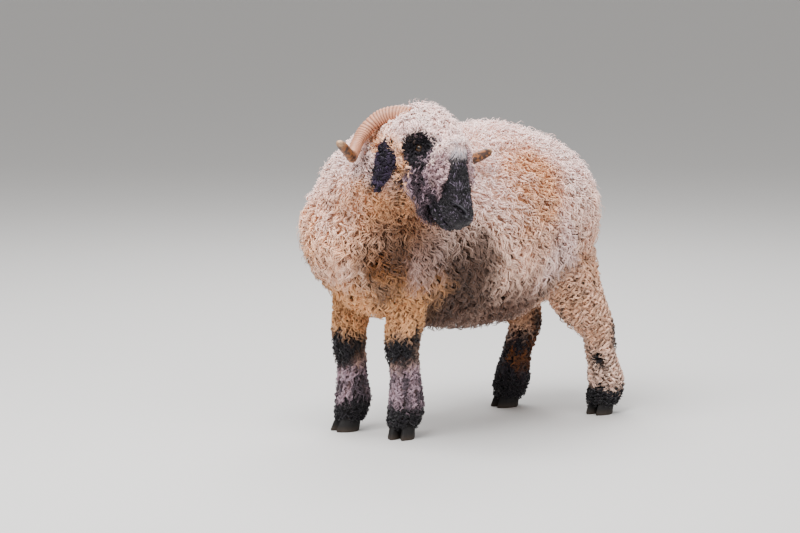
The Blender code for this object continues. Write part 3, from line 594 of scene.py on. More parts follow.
# Warmer and darker towards the roots of locks: the yellow of grease in the wool, with painted shade between
# the locks.
ROOT_TINT = np.array((0.84, 0.75, 0.66))
HORN_TAN = np.array((0.46, 0.205, 0.120))
HORN_LINE = np.array((0.075, 0.022, 0.012))
HORN_AMBER = np.array((0.21, 0.072, 0.019))
HORN_PALE = np.array((0.46, 0.27, 0.15))
HORN_SPOTS = np.array((0.022, 0.010, 0.008))
EYE_WHITE = np.array((0.045, 0.030, 0.022))
EYE_RIM = np.array((0.03, 0.02, 0.015))
EYE_IRIS = np.array((0.050, 0.022, 0.008))
EYE_PUPIL = np.array((0.004, 0.004, 0.005))
CLAW_WORN = np.array((0.034, 0.025, 0.019))
CLAW_DARK = np.array((0.010, 0.009, 0.009))

# Soft spots in the order they are laid: colour, the places they are told in, centre, reach, edge, strength,
# and how far the strength follows the fine noise. Folded places have both sides on the left, ragged ones are
# also shifted by noise, and plain ones are as they are.
HIP_SPOTS = (
    (TAN, "ragged", (0.22, 0.100, 0.68), (0.14, 0.095, 0.13), 0.50, 0.95, 0.35),
    (TAN, "folded", (0.16, 0.31, 0.37), (0.14, 0.14, 0.17), 0.40, 0.60, 0.35),
    (WHITE, "ragged", (0.23, 0.19, 0.53), (0.12, 0.055, 0.10), 0.50, 0.85, 0.0),
)
# Brown behind the elbow and low on the flank: stained wool, made darker as painted shade between the chest
# and the belly.
FLANK_SPOTS = (
    (EARTH_AND_SHADE, "ragged", (0.21, -0.185, 0.43), (0.17, 0.130, 0.16), 0.40, 0.95, 0.25),
    (EARTH_AND_SHADE * 1.7, "ragged", (0.20, 0.085, 0.425), (0.13, 0.095, 0.060), 0.50, 0.75, 0.25),
    (EARTH_AND_SHADE, "ragged", (0.215, -0.215, 0.50), (0.06, 0.035, 0.055), 0.50, 0.60, 0.0),
)
BREAST_AND_TAIL_SPOTS = (
    (GOLD, "ragged", (0.05, -0.46, 0.60), (0.13, 0.11, 0.105), 0.50, 0.45, 0.30),
    # Rust brown low on the chest under the head: stained wool, darkened as painted shade under the neck.
    (RUST, "ragged", (0.175, -0.39, 0.450), (0.085, 0.13, 0.14), 0.45, 0.95, 0.30),
    (BLACK * 1.5, "plain", (0.0, 0.40, 0.71), (0.05, 0.045, 0.055), 0.35, 1.0, 0.0),
)
# Painted shade: dark brown behind the elbow, under the throat and low on the chest below the head, and a
# darkened lilac cream under the chin.
SHADED_SPOTS = (
    (EARTH_AND_SHADE * 0.7, "ragged", (0.18, -0.195, 0.43), (0.07, 0.045, 0.08), 0.40, 0.80, 0.0),
    (LILAC_CREAM_IN_SHADE, "plain", (0.20, -0.29, 0.50), (0.06, 0.05, 0.085), 0.50, 0.60, 0.25),
    (EARTH_AND_SHADE * 0.7, "plain", (0.14, -0.37, 0.535), (0.06, 0.040, 0.05), 0.50, 0.80, 0.0),
    (EARTH_AND_SHADE * 0.8, "plain", (0.124, -0.386, 0.425), (0.05, 0.045, 0.035), 0.50, 0.70, 0.0),
)

# The middle of the black patch round an eye, in the head's own frame on its left, and its reach.
PATCH_CENTRE = (0.022, 0.085, -0.016)
PATCH_REACH = 0.047


def blend(base, other, weight):
    """Base colours mixed with another by a weight for each place, held to 0..1."""
    return base + (other - base) * np.clip(weight, 0, 1)[:, None]


def spot(points, centre, reach, edge=0.35):
    """A soft spot: 1 within reach of the centre, along each axis, and 0 past it by the share of the edge."""
    gone = np.linalg.norm((points - np.array(centre)) / np.array(reach), axis=1)
    return 1 - smooth(gone, 1 - edge, 1 + edge)


def with_spots(colour, rows, places, fine):
    """A colour with the spots of a table laid over it. places has the points in each way of telling them."""
    for tint, told, centre, reach, edge, strength, follows in rows:
        weight = spot(places[told], centre, reach, edge) * (strength + follows * fine)
        colour = blend(colour, tint, weight)
    return colour


def leg_markings(points, colour):
    """Ochre above, black knees, hock backs and feet, and mottled grey shins."""
    y, z = points[:, 1], points[:, 2]
    mottle = lattice_noise(points, 0.022, 41)
    broad = lattice_noise(points, 0.05, 42)
    legs = 1 - smooth(z, 0.40, 0.50)
    front = legs * (1 - smooth(y, -0.16, -0.10))
    upper = legs * (1 - smooth(y, -0.235, -0.185))
    colour = blend(colour, ORANGE, upper * smooth(z + 0.03 * broad, 0.24, 0.31) * 0.9)
    ragged = points + (0.018 * broad + 0.012 * mottle)[:, None] * (0.6, 0.6, 1.0)
    colour = blend(colour, LILAC * 0.6, front * (1 - smooth(z + 0.02 * broad, 0.19, 0.24)))
    shin = front * (1 - smooth(z, 0.19, 0.24)) * smooth(mottle, -0.2, 0.35)
    colour = blend(colour, BLACK * 2.5, shin * 0.85)
    for name in ("front_left", "front_right"):
        x, ahead, _ = FEET[name]
        colour = blend(colour, BLACK, spot(ragged, (x, ahead - 0.02, 0.252), (0.075, 0.075, 0.045)))
    left_hock, left_shin, right_hock = (0.148, 0.415, 0.245), (0.162, 0.36, 0.165), (-0.105, 0.36, 0.235)
    colour = blend(colour, BLACK, spot(ragged, left_hock, (0.05, 0.028, 0.05)) * 0.9)
    colour = blend(colour, BLACK, spot(ragged, left_shin, (0.028, 0.035, 0.034)))
    right = legs * smooth(y, 0.10, 0.16) * (points[:, 0] < 0)
    colour = blend(colour, TAN * 0.75, right * smooth(z, 0.22, 0.27) * 0.8)
    colour = blend(colour, BLACK, spot(ragged, right_hock, (0.07, 0.05, 0.07)))
    colour = blend(colour, BLACK * 2.2, right * (1 - smooth(z + 0.02 * broad, 0.20, 0.25)))
    colour = blend(colour, RUST, right * smooth(mottle + broad, 0.0, 0.5) * smooth(z, 0.11, 0.16) * 0.8)
    feet = 1 - smooth(z + 0.02 * broad + 0.012 * mottle, 0.085, 0.120)
    return blend(colour, BLACK, feet)


def past_muzzle_edge(along, aside, over):
    """How far along places lie past the edge of the short black fur, which sweeps back over the nose."""
    sides = np.maximum(smooth(np.abs(aside), 0.028, 0.048), 1 - smooth(over, -0.035, 0.005))
    return along - 0.077 - 0.063 * sides


def near_head(points, along, over, width):
    """How far places belong to the head, and not to the neck behind it: 1 on it, 0 a few centimetres off."""
    beard = 0.034 * smooth(along, 0.07, 0.11)
    near = 1 - smooth(near_tube(TUBES["head"], points)[0] - beard, 0.030, 0.044)
    nose = smooth(along, 0.10, 0.12) * (over > -0.11) * (over < 0.07) * (width < 0.06)
    return np.maximum(near, nose * (np.linalg.norm(in_head(points), axis=1) < 0.33))


def cheek_markings(colour, near, ahead, above, below, wide, curls, strands):
    """Plum cheeks with black curls and lilac strands, below the eyes and along the jaw."""
    jaw = np.maximum(smooth(above, -0.108, -0.088), smooth(ahead, 0.110, 0.135))
    cheek = near * smooth(ahead, 0.020, 0.036) * smooth(below, -0.026, 0.000) * jaw
    cheek = cheek * smooth(wide, 0.010, 0.025)
    colour = blend(colour, PLUM, cheek)
    colour = blend(colour, BLACK * 2, cheek * smooth(curls, 0.05, 0.5) * 0.85)
    return blend(colour, LILAC * 0.8, cheek * smooth(-curls + 0.4 * strands, 0.15, 0.55) * 0.75)


def eye_patch(points, colour, near, wander, curls, strands):
    """A black patch round each eye, with lilac tufts away from the eye itself."""
    local = in_head(points)
    mirrored = local * (1, 0, 1) + np.abs(local) * (0, 1, 0)
    patch = spot(mirrored, PATCH_CENTRE, (PATCH_REACH, 0.080, PATCH_REACH), 0.3)
    patch = near * smooth(patch + 22 * wander, 0.30, 0.60)
    colour = blend(colour, BLACK * 1.3, patch)
    clear = smooth(np.hypot(mirrored[:, 0] - EYE_PLACE[0], mirrored[:, 2] - EYE_PLACE[2]), 0.014, 0.028)
    tufts = patch * clear * smooth(curls + 0.4 * strands, 0.10, 0.45)
    return blend(colour, LILAC * 0.8, tufts * 0.8)


def head_markings(points, colour):
    """White on top, golden cheeks behind, a black patch round each eye, plum cheeks and a black muzzle."""
    along, aside, over = head_measures(points)
    width = np.abs(aside)
    near = near_head(points, along, over, width)
    wander = 0.016 * lattice_noise(points, 0.035, 51) + 0.009 * lattice_noise(points, 0.014, 52)
    strands = lattice_noise(points, 0.0035, 53)
    curls = lattice_noise(points, 0.009, 54)
    ahead, above, below = along + wander, over + wander, -over + wander
    colour = blend(colour, RINGLETS, near * smooth(below, -0.010, 0.030) * (0.85 + 0.3 * curls))
    colour = blend(colour, WHITE, near * smooth(above, 0.0, 0.04))
    colour = cheek_markings(colour, near, ahead, above, below, width + wander, curls, strands)
    light = smooth(ahead, 0.048, 0.066) * (1 - smooth(ahead, 0.134, 0.150))
    light = light * smooth(above, -0.020, 0.002) * smooth(width, 0.016, 0.030)
    colour = blend(colour, ROSE, near * light * (0.90 + 0.25 * strands - 0.30 * smooth(curls, 0.2, 0.6)))
    colour = eye_patch(points, colour, near, wander, curls, strands)
    grey = near * smooth(ahead, 0.036, 0.052) * smooth(over, 0.020, 0.034)
    grey = grey * (1 - smooth(width, 0.022, 0.036))
    colour = blend(colour, ASH, grey * (0.70 + 0.5 * strands))
    edge = past_muzzle_edge(along, aside, over) + 0.6 * wander + 0.018 * strands
    return blend(colour, BLACK, near * smooth(edge, -0.020, 0.012))


def curliness(points):
    """How far the wool hangs in wavy locks: 0 on the fluffy back and shoulders, 1 on the belly and legs."""
    z = points[:, 2] + 0.05 * lattice_noise(points, 0.09, 33)
    hip = 0.5 * smooth(points[:, 1], 0.16, 0.26) * (1 - smooth(z, 0.62, 0.74))
    return np.maximum(1 - smooth(z, 0.48, 0.66), hip)


def coat_colour(points):
    """Colour of the coat at places in the animal's frame, from named colours blended by soft spots, some of
    them painted shade.
    """
    _, y, z = points.T
    folded = np.abs(points) * (1, 0, 0) + points * (0, 1, 1)
    broad = lattice_noise(points, 0.11, 31)
    fine = lattice_noise(points, 0.035, 32)
    places = {"plain": points, "folded": folded, "ragged": folded + (0.045 * broad + 0.025 * fine)[:, None]}
    colour = np.tile(CREAM, (len(points), 1))
    colour = blend(colour, WHITE, smooth(z + 0.05 * broad, 0.52, 0.74) * 0.92)
    colour = with_spots(colour, HIP_SPOTS, places, fine)
    # Brown low on the belly: stained wool, and painted shade under the body.
    low = 1 - smooth(z + 0.05 * broad, 0.38, 0.45)
    belly = low * smooth(y, -0.26, -0.20) * (1 - smooth(y, 0.12, 0.20)) * smooth(z, 0.20, 0.25)
    colour = blend(colour, EARTH_AND_SHADE * 1.35, belly * (0.90 + 0.25 * fine))
    colour = with_spots(colour, FLANK_SPOTS, places, fine)
    chest = (1 - smooth(y + 0.04 * broad, -0.36, -0.24)) * (1 - smooth(z + 0.06 * broad, 0.50, 0.68))
    colour = blend(colour, TAN, chest * smooth(folded[:, 0], 0.09, 0.15) * (0.80 + 0.25 * fine))
    colour = blend(colour, TAN, chest * (1 - smooth(z, 0.34, 0.44)) * 0.7)
    away = near_tube(TUBES["head"], points)[0]
    throat = (1 - smooth(away + 0.03 * broad, 0.08, 0.19)) * (1 - smooth(z + 0.03 * broad, 0.69, 0.75))
    colour = blend(colour, RINGLETS, throat * (0.80 + 0.25 * fine))
    colour = with_spots(colour, BREAST_AND_TAIL_SPOTS, places, fine)
    colour = leg_markings(points, colour)
    colour = with_spots(colour, SHADED_SPOTS, places, fine)
    colour = head_markings(points, colour)
    return np.clip(colour * (1 + 0.08 * fine)[:, None], 0.003, 0.95)


# Meshes.


def put_mesh(name, points, faces, colours=None, places=None):
    """A smooth mesh object from triangles. colours go on its points, places are map corners of each face."""
    mesh = bpy.data.meshes.new(name)
    points = np.asarray(points, float) - MIDDLE
    faces = np.asarray(faces, int)
    mesh.vertices.add(len(points))
    mesh.vertices.foreach_set("co", points.astype(np.float32).ravel())
    mesh.loops.add(faces.size)
    mesh.loops.foreach_set("vertex_index", faces.astype(np.int32).ravel())
    mesh.polygons.add(len(faces))
    mesh.polygons.foreach_set("loop_start", np.arange(0, faces.size, 3, dtype=np.int32))
    mesh.update(calc_edges=True)
    mesh.validate()
    mesh.shade_smooth()
    if colours is not None:
        paint(mesh, "coat", colours)
    if places is not None:
        layer = mesh.uv_layers.new(name="OFBake")
        layer.data.foreach_set("uv", places.astype(np.float32).ravel())
    made = bpy.data.objects.new(name, mesh)
    bpy.context.scene.collection.objects.link(made)
    return made


def paint(mesh, name, colours):
    """Puts a colour on each point of a mesh."""
    layer = mesh.attributes.new(name, "FLOAT_COLOR", "POINT")
    whole = np.ones((len(colours), 4), np.float32)
    whole[:, :3] = colours
    layer.data.foreach_set("color", whole.ravel())


def note(mesh, name, values):
    """Puts a number on each point of a mesh."""
    layer = mesh.attributes.new(name, "FLOAT", "POINT")
    layer.data.foreach_set("value", np.asarray(values, np.float32))


def mesh_arrays(made):
    """Points in the animal's frame, triangles and point normals of a mesh object."""
    mesh = made.data
    mesh.calc_loop_triangles()
    points = np.empty(len(mesh.vertices) * 3, np.float32)
    mesh.vertices.foreach_get("co", points)
    normals = np.empty(len(mesh.vertices) * 3, np.float32)
    mesh.vertex_normals.foreach_get("vector", normals)
    faces = np.empty(len(mesh.loop_triangles) * 3, np.int32)
    mesh.loop_triangles.foreach_get("vertices", faces)
    return points.reshape(-1, 3) + MIDDLE, faces.reshape(-1, 3), normals.reshape(-1, 3).astype(float)


def grown_skin(name, parts, voxel, rounds):
    """One closed surface round overlapping closed parts: a voxel shell, then smoothed a number of rounds."""
    points, faces, total = [], [], 0
    for part_points, part_faces in parts:
        points.append(part_points)
        faces.append(part_faces + total)
        total += len(part_points)
    rough = put_mesh("rough", np.vstack(points), np.vstack(faces))
    shell = rough.modifiers.new("shell", "REMESH")
    shell.mode = "VOXEL"
    shell.voxel_size = voxel
    even = rough.modifiers.new("even", "SMOOTH")
    even.factor = 0.5
    even.iterations = rounds
    graph = bpy.context.evaluated_depsgraph_get()
    mesh = bpy.data.meshes.new_from_object(rough.evaluated_get(graph))
    bpy.data.objects.remove(rough)
    made = bpy.data.objects.new(name, mesh)
    mesh.name = name
    bpy.context.scene.collection.objects.link(made)
    mesh.shade_smooth()
    return made


def move_points(made, points):
    """Moves the points of a mesh object to places in the animal's frame."""
    made.data.vertices.foreach_set("co", (points - MIDDLE).astype(np.float32).ravel())
    made.data.update()


def fit_piece(made, material, slot, *nodes):
    """Gives a piece its finish, sets it on the body, and has it stand for nodes of the solids. slot is not
    used.
    """
    made.data.materials.clear()
    made.data.materials.append(material)
    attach(made, "root")
    if nodes:
        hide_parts(*nodes)
    return made


# Finishes.


def new_finish(name, roughness, **sockets):
    """A material whose even values stand on its shader's own sockets. Gives its nodes, links and shader."""
    material = bpy.data.materials.new(name)
    material.use_nodes = True
    tree = material.node_tree
    shader = tree.nodes["Principled BSDF"]
    shader.inputs["Roughness"].default_value = roughness
    for socket, value in sockets.items():
        shader.inputs[socket.replace("_", " ")].default_value = value
    return material, tree, shader


def add_node(tree, kind, **values):
    """A node with values put on its inputs by name, or on itself where it has such a setting."""
    made = tree.nodes.new(kind)
    for name, value in values.items():
        title = name.replace("_", " ")
        if title in made.inputs:
            made.inputs[title].default_value = value
        else:
            setattr(made, name, value)
    return made


def noise_node(tree, scale, detail=3.0, roughness=0.6, stretch=None):
    """Noise over the object's own coordinates, stretched where wanted."""
    source = tree.nodes.new("ShaderNodeTexCoord")
    made = add_node(tree, "ShaderNodeTexNoise", Scale=scale, Detail=detail, Roughness=roughness)
    if stretch:
        turned = add_node(tree, "ShaderNodeMapping", Scale=stretch)
        tree.links.new(source.outputs["Object"], turned.inputs["Vector"])
        tree.links.new(turned.outputs["Vector"], made.inputs["Vector"])
    else:
        tree.links.new(source.outputs["Object"], made.inputs["Vector"])
    return made


def ranged(tree, source, low, high):
    """Maps a value from 0..1 to low..high."""
    made = add_node(tree, "ShaderNodeMapRange", To_Min=low, To_Max=high)
    tree.links.new(source, made.inputs["Value"])
    return made.outputs["Result"]


def times(tree, colour, factor):
    """A colour times a number."""
    made = add_node(tree, "ShaderNodeVectorMath", operation="SCALE")
    tree.links.new(colour, made.inputs[0])
    tree.links.new(factor, made.inputs["Scale"])
    return made.outputs["Vector"]


def raised(tree, shader, height, strength, distance):
    """A bump of that height on a shader."""
    made = add_node(tree, "ShaderNodeBump", Strength=strength, Distance=distance)
    tree.links.new(height, made.inputs["Height"])
    tree.links.new(made.outputs["Normal"], shader.inputs["Normal"])


def attribute_node(tree, name, output):
    """An output of what is kept under a name on the points of the mesh."""
    return add_node(tree, "ShaderNodeAttribute", attribute_name=name).outputs[output]


def mottled(tree, shader, noise, low, high):
    """Gives a shader the colour kept on the mesh, times noise that runs from low to high."""
    factor = ranged(tree, noise.outputs["Fac"], low, high)
    tree.links.new(times(tree, attribute_node(tree, "coat", "Color"), factor), shader.inputs["Base Color"])


def wool_finish(name, sheen):
    """Matt wool: the coat's colour, mottled by fine noise, with a fibrous bump and a soft sheen."""
    soft = {"Specular_IOR_Level": 0.15, "Sheen_Weight": sheen, "Sheen_Roughness": 0.55}
    material, tree, shader = new_finish(name, 0.92, **soft)
    mottle = noise_node(tree, 260.0, 4.0, 0.7)
    mottled(tree, shader, mottle, 0.74, 1.26)
    raised(tree, shader, mottle.outputs["Fac"], 0.5, 0.0015)
    return material


def face_finish():
    """Short black fur and bare skin: streaks along the head, fine grain, and damp round the nostrils."""
    material, tree, shader = new_finish("short fur", 0.70, Specular_IOR_Level=0.25)
    grain = noise_node(tree, 900.0, 3.0, 0.6)
    mottled(tree, shader, noise_node(tree, 160.0, 3.0, 0.6, (1.0, 4.0, 0.6)), 0.6, 1.6)
    damp = ranged(tree, attribute_node(tree, "damp", "Fac"), 0.72, 0.36)
    tree.links.new(damp, shader.inputs["Roughness"])
    raised(tree, shader, grain.outputs["Fac"], 0.45, 0.0008)
    return material


def horn_finish():
    """Horn: pinkish tan with dark red-brown lines in its grooves, amber and mottled towards a pale tip."""
    material, tree, shader = new_finish("horn", 0.48, Specular_IOR_Level=0.35, Coat_Weight=0.08)
    cloud = noise_node(tree, 60.0, 5.0, 0.65)
    mottled(tree, shader, cloud, 0.66, 1.34)
    streak = noise_node(tree, 420.0, 4.0, 0.7)
    raised(tree, shader, streak.outputs["Fac"], 0.35, 0.0010)
    tree.links.new(ranged(tree, cloud.outputs["Fac"], 0.38, 0.62), shader.inputs["Roughness"])
    return material


def claw_finish():
    """Claw horn: dark, with paler worn patches and fine growth lines."""
    material, tree, shader = new_finish("claw horn", 0.7, Specular_IOR_Level=0.2)
    mottled(tree, shader, noise_node(tree, 90.0, 5.0, 0.7), 0.45, 1.7)
    lines = noise_node(tree, 500.0, 3.0, 0.6, (0.4, 0.4, 2.5))
    raised(tree, shader, lines.outputs["Fac"], 0.5, 0.0010)
    return material


def eye_finish():
    """A wet eye: its painted iris and slot pupil under a clear coat."""
    wet = {"Specular_IOR_Level": 0.3, "Coat_Weight": 0.22, "Coat_Roughness": 0.05}
    material, tree, shader = new_finish("eye", 0.30, **wet)
    mottled(tree, shader, noise_node(tree, 1400.0, 3.0, 0.6), 0.75, 1.25)
    return material


def face_hair_finish():
    """Short glossy hair of the muzzle, its colour mottled by noise."""
    material, tree, shader = new_finish("short hair", 0.42, Specular_IOR_Level=0.40)
    mottled(tree, shader, noise_node(tree, 700.0, 2.0, 0.6), 0.7, 1.6)
    return material


# Skin and head.


def body_skin():
    """Skin of the torso, neck, legs and tail at the core of the fleece, grown as one."""
    parts = [closed_rings(ring_points(TUBES["torso"], 64)), closed_rings(ring_points(TUBES["neck"], 48))]
    parts += [closed_rings(ring_points(TUBES["leg_" + name], 32)) for name in FEET]
    parts.append(closed_rings(ring_points(TUBES["tail"], 24)))
    made = grown_skin("body_skin", parts, voxel=0.0075, rounds=8)
    points, _, _ = mesh_arrays(made)
    # Painted shade in the gaps of the coat: the skin is darker where the wool is curly and low on the thigh.
    hind = smooth(points[:, 1], 0.20, 0.26) * (1 - smooth(points[:, 2], 0.45, 0.55))
    shade = 1 - 0.62 * curliness(points) - 0.18 * hind
    paint(made.data, "coat", coat_colour(points) * ROOT_TINT * shade[:, None])
    return made


# The hollow of the face round each eye: how far it reaches from the line of sight, and its depth there.
# The seat holds the eyeball up to the first angle from the line of sight, in degrees, and ends at the second.
BOWL_REACH = 0.055
BOWL_DEPTH = 0.045
SEAT_ANGLE = 66
SEAT_EDGE = 96


def nostril_reach(points):
    """Distance of places from the nearer nostril's line, as a multiple of its radius there."""
    fine = spline_rows(np.column_stack((np.array(NOSTRIL_PATH), NOSTRIL_RADII)), 24)
    line = head_placed(head_point(fine[:, 0], fine[:, 1], fine[:, 2]))
    reach = np.full(len(points), 99.0)
    for side, _ in SIDES:
        placed = head_placed(in_head(line) * (1, side, 1))
        gone = np.linalg.norm(points[:, None] - placed, axis=2)
        near = np.argmin(gone, axis=1)
        reach = np.minimum(reach, gone[np.arange(len(points)), near] / fine[near, 3])
    return reach


def lip_push(along, aside, over):
    """How far the lips stand out, and how far the mouth's line and the groove under the nose go in.

    Each is a bell curve of the distance from its line.
    """
    gap = over - read_rows(along, MOUTH_LINE)
    there = smooth(along, 0.148, 0.166)
    push = there * (0.0018 * bell(gap - 0.0060, 0.0038) - 0.0055 * bell(gap, 0.0021))
    push += there * 0.0018 * bell(gap + 0.0060, 0.0040)
    middle = bell(aside, 0.0016) * smooth(along, 0.205, 0.222) * smooth(over, -0.042, -0.036)
    return push - 0.0022 * middle * (1 - smooth(over, -0.004, 0.004))


def face_push(points):
    """How far the head's skin moves out: lips, sunk nostrils and their rims, the bridge and small lumps."""
    along, aside, over = head_measures(points)
    push = lip_push(along, aside, over)
    reach = nostril_reach(points)
    push -= 0.0115 * (1 - smooth(reach, 0.55, 1.20))
    push += 0.0018 * bell(reach - 1.60, 0.40)
    push += read_rows(along, BRIDGE_SWELL) * smooth(over, -0.004, 0.026)
    lumps = lattice_noise(points, 0.008, 71) + 0.7 * lattice_noise(points, 0.004, 72)
    return push + 0.0011 * lumps * smooth(along, 0.07, 0.10)


def with_eye_hollow(points, side):
    """Points of the head's skin, sunk round one eye.

    The hollow is a bowl whose depth is a power of the distance from the line of sight. Inside it the skin is
    drawn in to a round seat for the eyeball.
    """
    centre, look = head_placed(eye_centre(side)), head_turned(eye_look(side))
    depth, _, off = from_eye(points, side)
    bowl = 0.001 + BOWL_DEPTH * (off / BOWL_REACH) ** 1.8
    sunk = np.where((off < BOWL_REACH) & (depth > bowl), bowl - depth, 0.0)
    away = points + sunk[:, None] * look - centre
    radius = np.linalg.norm(away, axis=1)
    facing = (away @ look) / np.maximum(radius, 1e-6)
    angle = np.degrees(np.arccos(np.clip(facing, -1, 1)))
    seat = EYE_RADIUS + np.where(angle < SEAT_ANGLE, -0.0035, 0.0005)
    target = seat + (radius - seat) * smooth(angle, SEAT_ANGLE, SEAT_EDGE)
    held = (angle < SEAT_EDGE) & (radius < 0.04)
    new_radius = np.where(held, np.minimum(radius, target), radius)
    return centre + away * (new_radius / np.maximum(radius, 1e-6))[:, None]


def folded_face(points, normals):
    """Points of the head's skin moved along their normals, and then sunk round both eyes."""
    moved = points + normals * face_push(points)[:, None]
    for side, _ in SIDES:
        moved = with_eye_hollow(moved, side)
    return moved


def head_skin():
    """Skin of the head: skull, jaw and the cushion under its wool grown as one, then folded."""
    parts = [
        closed_rings(ring_points(head_tube(SKULL_SECTIONS, 120), 72)),
        closed_rings(ring_points(head_tube(JAW_SECTIONS, 90), 60)),
        closed_rings(ring_points(TUBES["head"], 64)),
    ]
    made = grown_skin("head_skin", parts, voxel=0.0019, rounds=7)
    points, _, normals = mesh_arrays(made)
    moved = folded_face(points, normals)
    move_points(made, moved)
    along, aside, over = head_measures(moved)
    # Painted shade on the skin under the head's wool, behind the bare muzzle.
    shade = 1 - 0.35 * (1 - smooth(along, 0.08, 0.14))
    # A lighter grey along the upper edge of each nostril is a painted highlight; that rim is also damp.
    reach = nostril_reach(moved)
    path = np.array(NOSTRIL_PATH)[::-1]
    above = smooth(over - np.interp(along, path[:, 0], path[:, 2]), -0.001, 0.004)
    rim = smooth(reach, 0.8, 1.1) * (1 - smooth(reach, 1.2, 1.7)) * above
    colour = blend(coat_colour(moved) * shade[:, None], NOSTRIL_RIM_HIGHLIGHT, 0.8 * rim)
    paint(made.data, "coat", colour)
    damp = smooth(along, 0.196, 0.216) * (1 - smooth(np.abs(aside), 0.034, 0.042))
    note(made.data, "damp", np.maximum(damp, rim))
    return made


def eye_axes(side):
    """An eye's line of sight and the ways ahead and up across it, in the head's own frame."""
    look = eye_look(side)
    ahead = np.array((1.0, 0.0, -0.35))
    ahead = unit(ahead - look * (look @ ahead))
    return look, ahead, np.cross(ahead, look) * side


def eye_colours(ahead, over, front):
    """Colours of an eye from its white towards the line of sight: dark rim, streaked iris and slot pupil."""
    angle = np.arccos(np.clip(front, -1, 1))
    colour = np.tile(EYE_WHITE, (len(front), 1))
    colour = blend(colour, EYE_RIM, 1 - smooth(angle, 0.80, 0.90))
    streak = 0.15 * np.sin(np.arctan2(over, ahead) * 38)
    colour = blend(colour, EYE_IRIS * 1.2, (1 - smooth(angle, 0.66, 0.76)) * (1 + streak))
    slot = np.hypot(ahead / 0.42, over / 0.20)
    return blend(colour, EYE_PUPIL, 1 - smooth(slot, 0.88, 1.05))


def eye_shape(side, rings=48, sides=64):
    """An eyeball about its line of sight, with a cornea that is raised over the iris by a bell curve."""
    look, ahead, over = eye_axes(side)
    centre = eye_centre(side)
    polar = np.linspace(0, math.pi, rings + 2)[1:-1, None, None]
    turn = around(sides)[None, :, None] * side
    radius = EYE_RADIUS + CORNEA_RISE * bell(polar, 0.45)
    flat = np.sin(polar) * (np.cos(turn) * ahead + np.sin(turn) * over)
    points, faces = closed_rings(centre + radius * (np.cos(polar) * look + flat))
    points[-2] = centre + (EYE_RADIUS + CORNEA_RISE) * look
    points[-1] = centre - EYE_RADIUS * look
    away = unit(points - centre)
    return head_placed(points), faces, eye_colours(away @ ahead, away @ over, away @ look)


# Section of a lid: degrees past the edge of its opening, height over the eyeball, share of the upper fold.
LID_PROFILE = (
    (26, 0.0003, 0.0),
    (4, 0.0003, 0.0),
    (0.5, 0.0006, 0.0),
    (0, 0.0012, 0.0),
    (1.5, 0.0021, 0.1),
    (5, 0.0028, 0.4),
    (10, 0.0031, 0.8),
    (15, 0.0029, 1.0),
    (19, 0.0020, 1.0),
    (24, 0.0028, 1.0),
    (32, 0.0036, 0.9),
    (42, 0.0030, 0.6),
    (54, 0.0010, 0.3),
    (62, -0.0030, 0.0),
    (50, -0.0040, 0.0),
)


def lid_shape(side, sides=96):
    """Both lids of an eye: a profile of angle past the opening's edge and height, carried round the opening.

    The edge is a pointed oval. The third number of the profile widens the upper lid's fold.
    """
    look, ahead, over = eye_axes(side)
    turn = around(sides) * side
    wide, high = LID_OPEN
    power = 1.7
    edge = (np.abs(np.cos(turn) / wide) ** power + np.abs(np.sin(turn) / high) ** power) ** (-1 / power)
    edge = np.degrees(np.arcsin(np.minimum(edge / EYE_RADIUS, 0.98)))
    upper = np.clip(np.sin(turn) * side, 0, 1)
    rings = []
    for past, height, fold in LID_PROFILE:
        angle = np.radians(np.minimum(edge + past * (1 + 0.25 * fold * upper), 118))
        radius = EYE_RADIUS + height + 0.0008 * fold * upper
        flat = np.sin(angle)[:, None] * (np.cos(turn)[:, None] * ahead + np.sin(turn)[:, None] * over)
        rings.append(eye_centre(side) + radius[:, None] * (np.cos(angle)[:, None] * look + flat))
    count = len(rings)
    row, step = np.meshgrid(np.arange(count), np.arange(sides), indexing="ij")
    after, next_row = (step + 1) % sides, (row + 1) % count
    a, b = row * sides + step, row * sides + after
    c, d = next_row * sides + after, next_row * sides + step
    faces = np.stack((a, b, c, a, c, d), axis=-1).reshape(-1, 3)
    return head_placed(np.array(rings).reshape(-1, 3)), faces


def ear_shape(side, count=72, sides=56):
    """An ear as a shell: a leaf outline down its length, thin, cupped forwards and outwards."""
    root, tip = np.array(EAR_ROOT), np.array(EAR_TIP)
    down = unit(tip - root)
    across = unit(EAR_ACROSS - down * (down @ EAR_ACROSS))
    out = np.cross(down, across)
    turn = around(sides)
    t = np.linspace(0, 1, count)[:, None]
    x = EAR_HALF_WIDTH * np.interp(t, EAR_SHARES, EAR_LEAF) * EAR_SHELL * np.cos(turn)
    thick = EAR_HALF_THICKNESS * (1.5 - 0.8 * t)
    hollow = EAR_CUP * np.minimum(1.0, 2.5 * t) * (1 - np.cos(turn) ** 2) * (1 - 0.8 * t**2)
    y = thick * np.sin(turn) - hollow
    length = np.linalg.norm(tip - root)
    rings = root + down * (length * t)[..., None] + x[..., None] * across + y[..., None] * out
    rings[:, :, 1] *= side
    points, faces = closed_rings(head_placed(rings)[:, ::side])
    return points, faces, np.tile(BLACK, (len(points), 1))


def horn_line(side, t):
    """Middle line of a horn at shares t of its length, in the head's frame: a screw that narrows outwards."""
    angle = HORN_FIRST_ANGLE + t * (HORN_LAST_ANGLE - HORN_FIRST_ANGLE)
    wind = HORN_WIND + t * (HORN_LAST_WIND - HORN_WIND)
    spread = (1 - HORN_SPREAD) * t + HORN_SPREAD * t * t
    out = HORN_ROOT_SIDE + (HORN_TIP_SIDE - HORN_ROOT_SIDE) * spread
    ahead, above = HORN_AXIS[0] + wind * np.cos(angle), HORN_AXIS[1] + wind * np.sin(angle)
    return np.stack((ahead, side * out, above), axis=1)


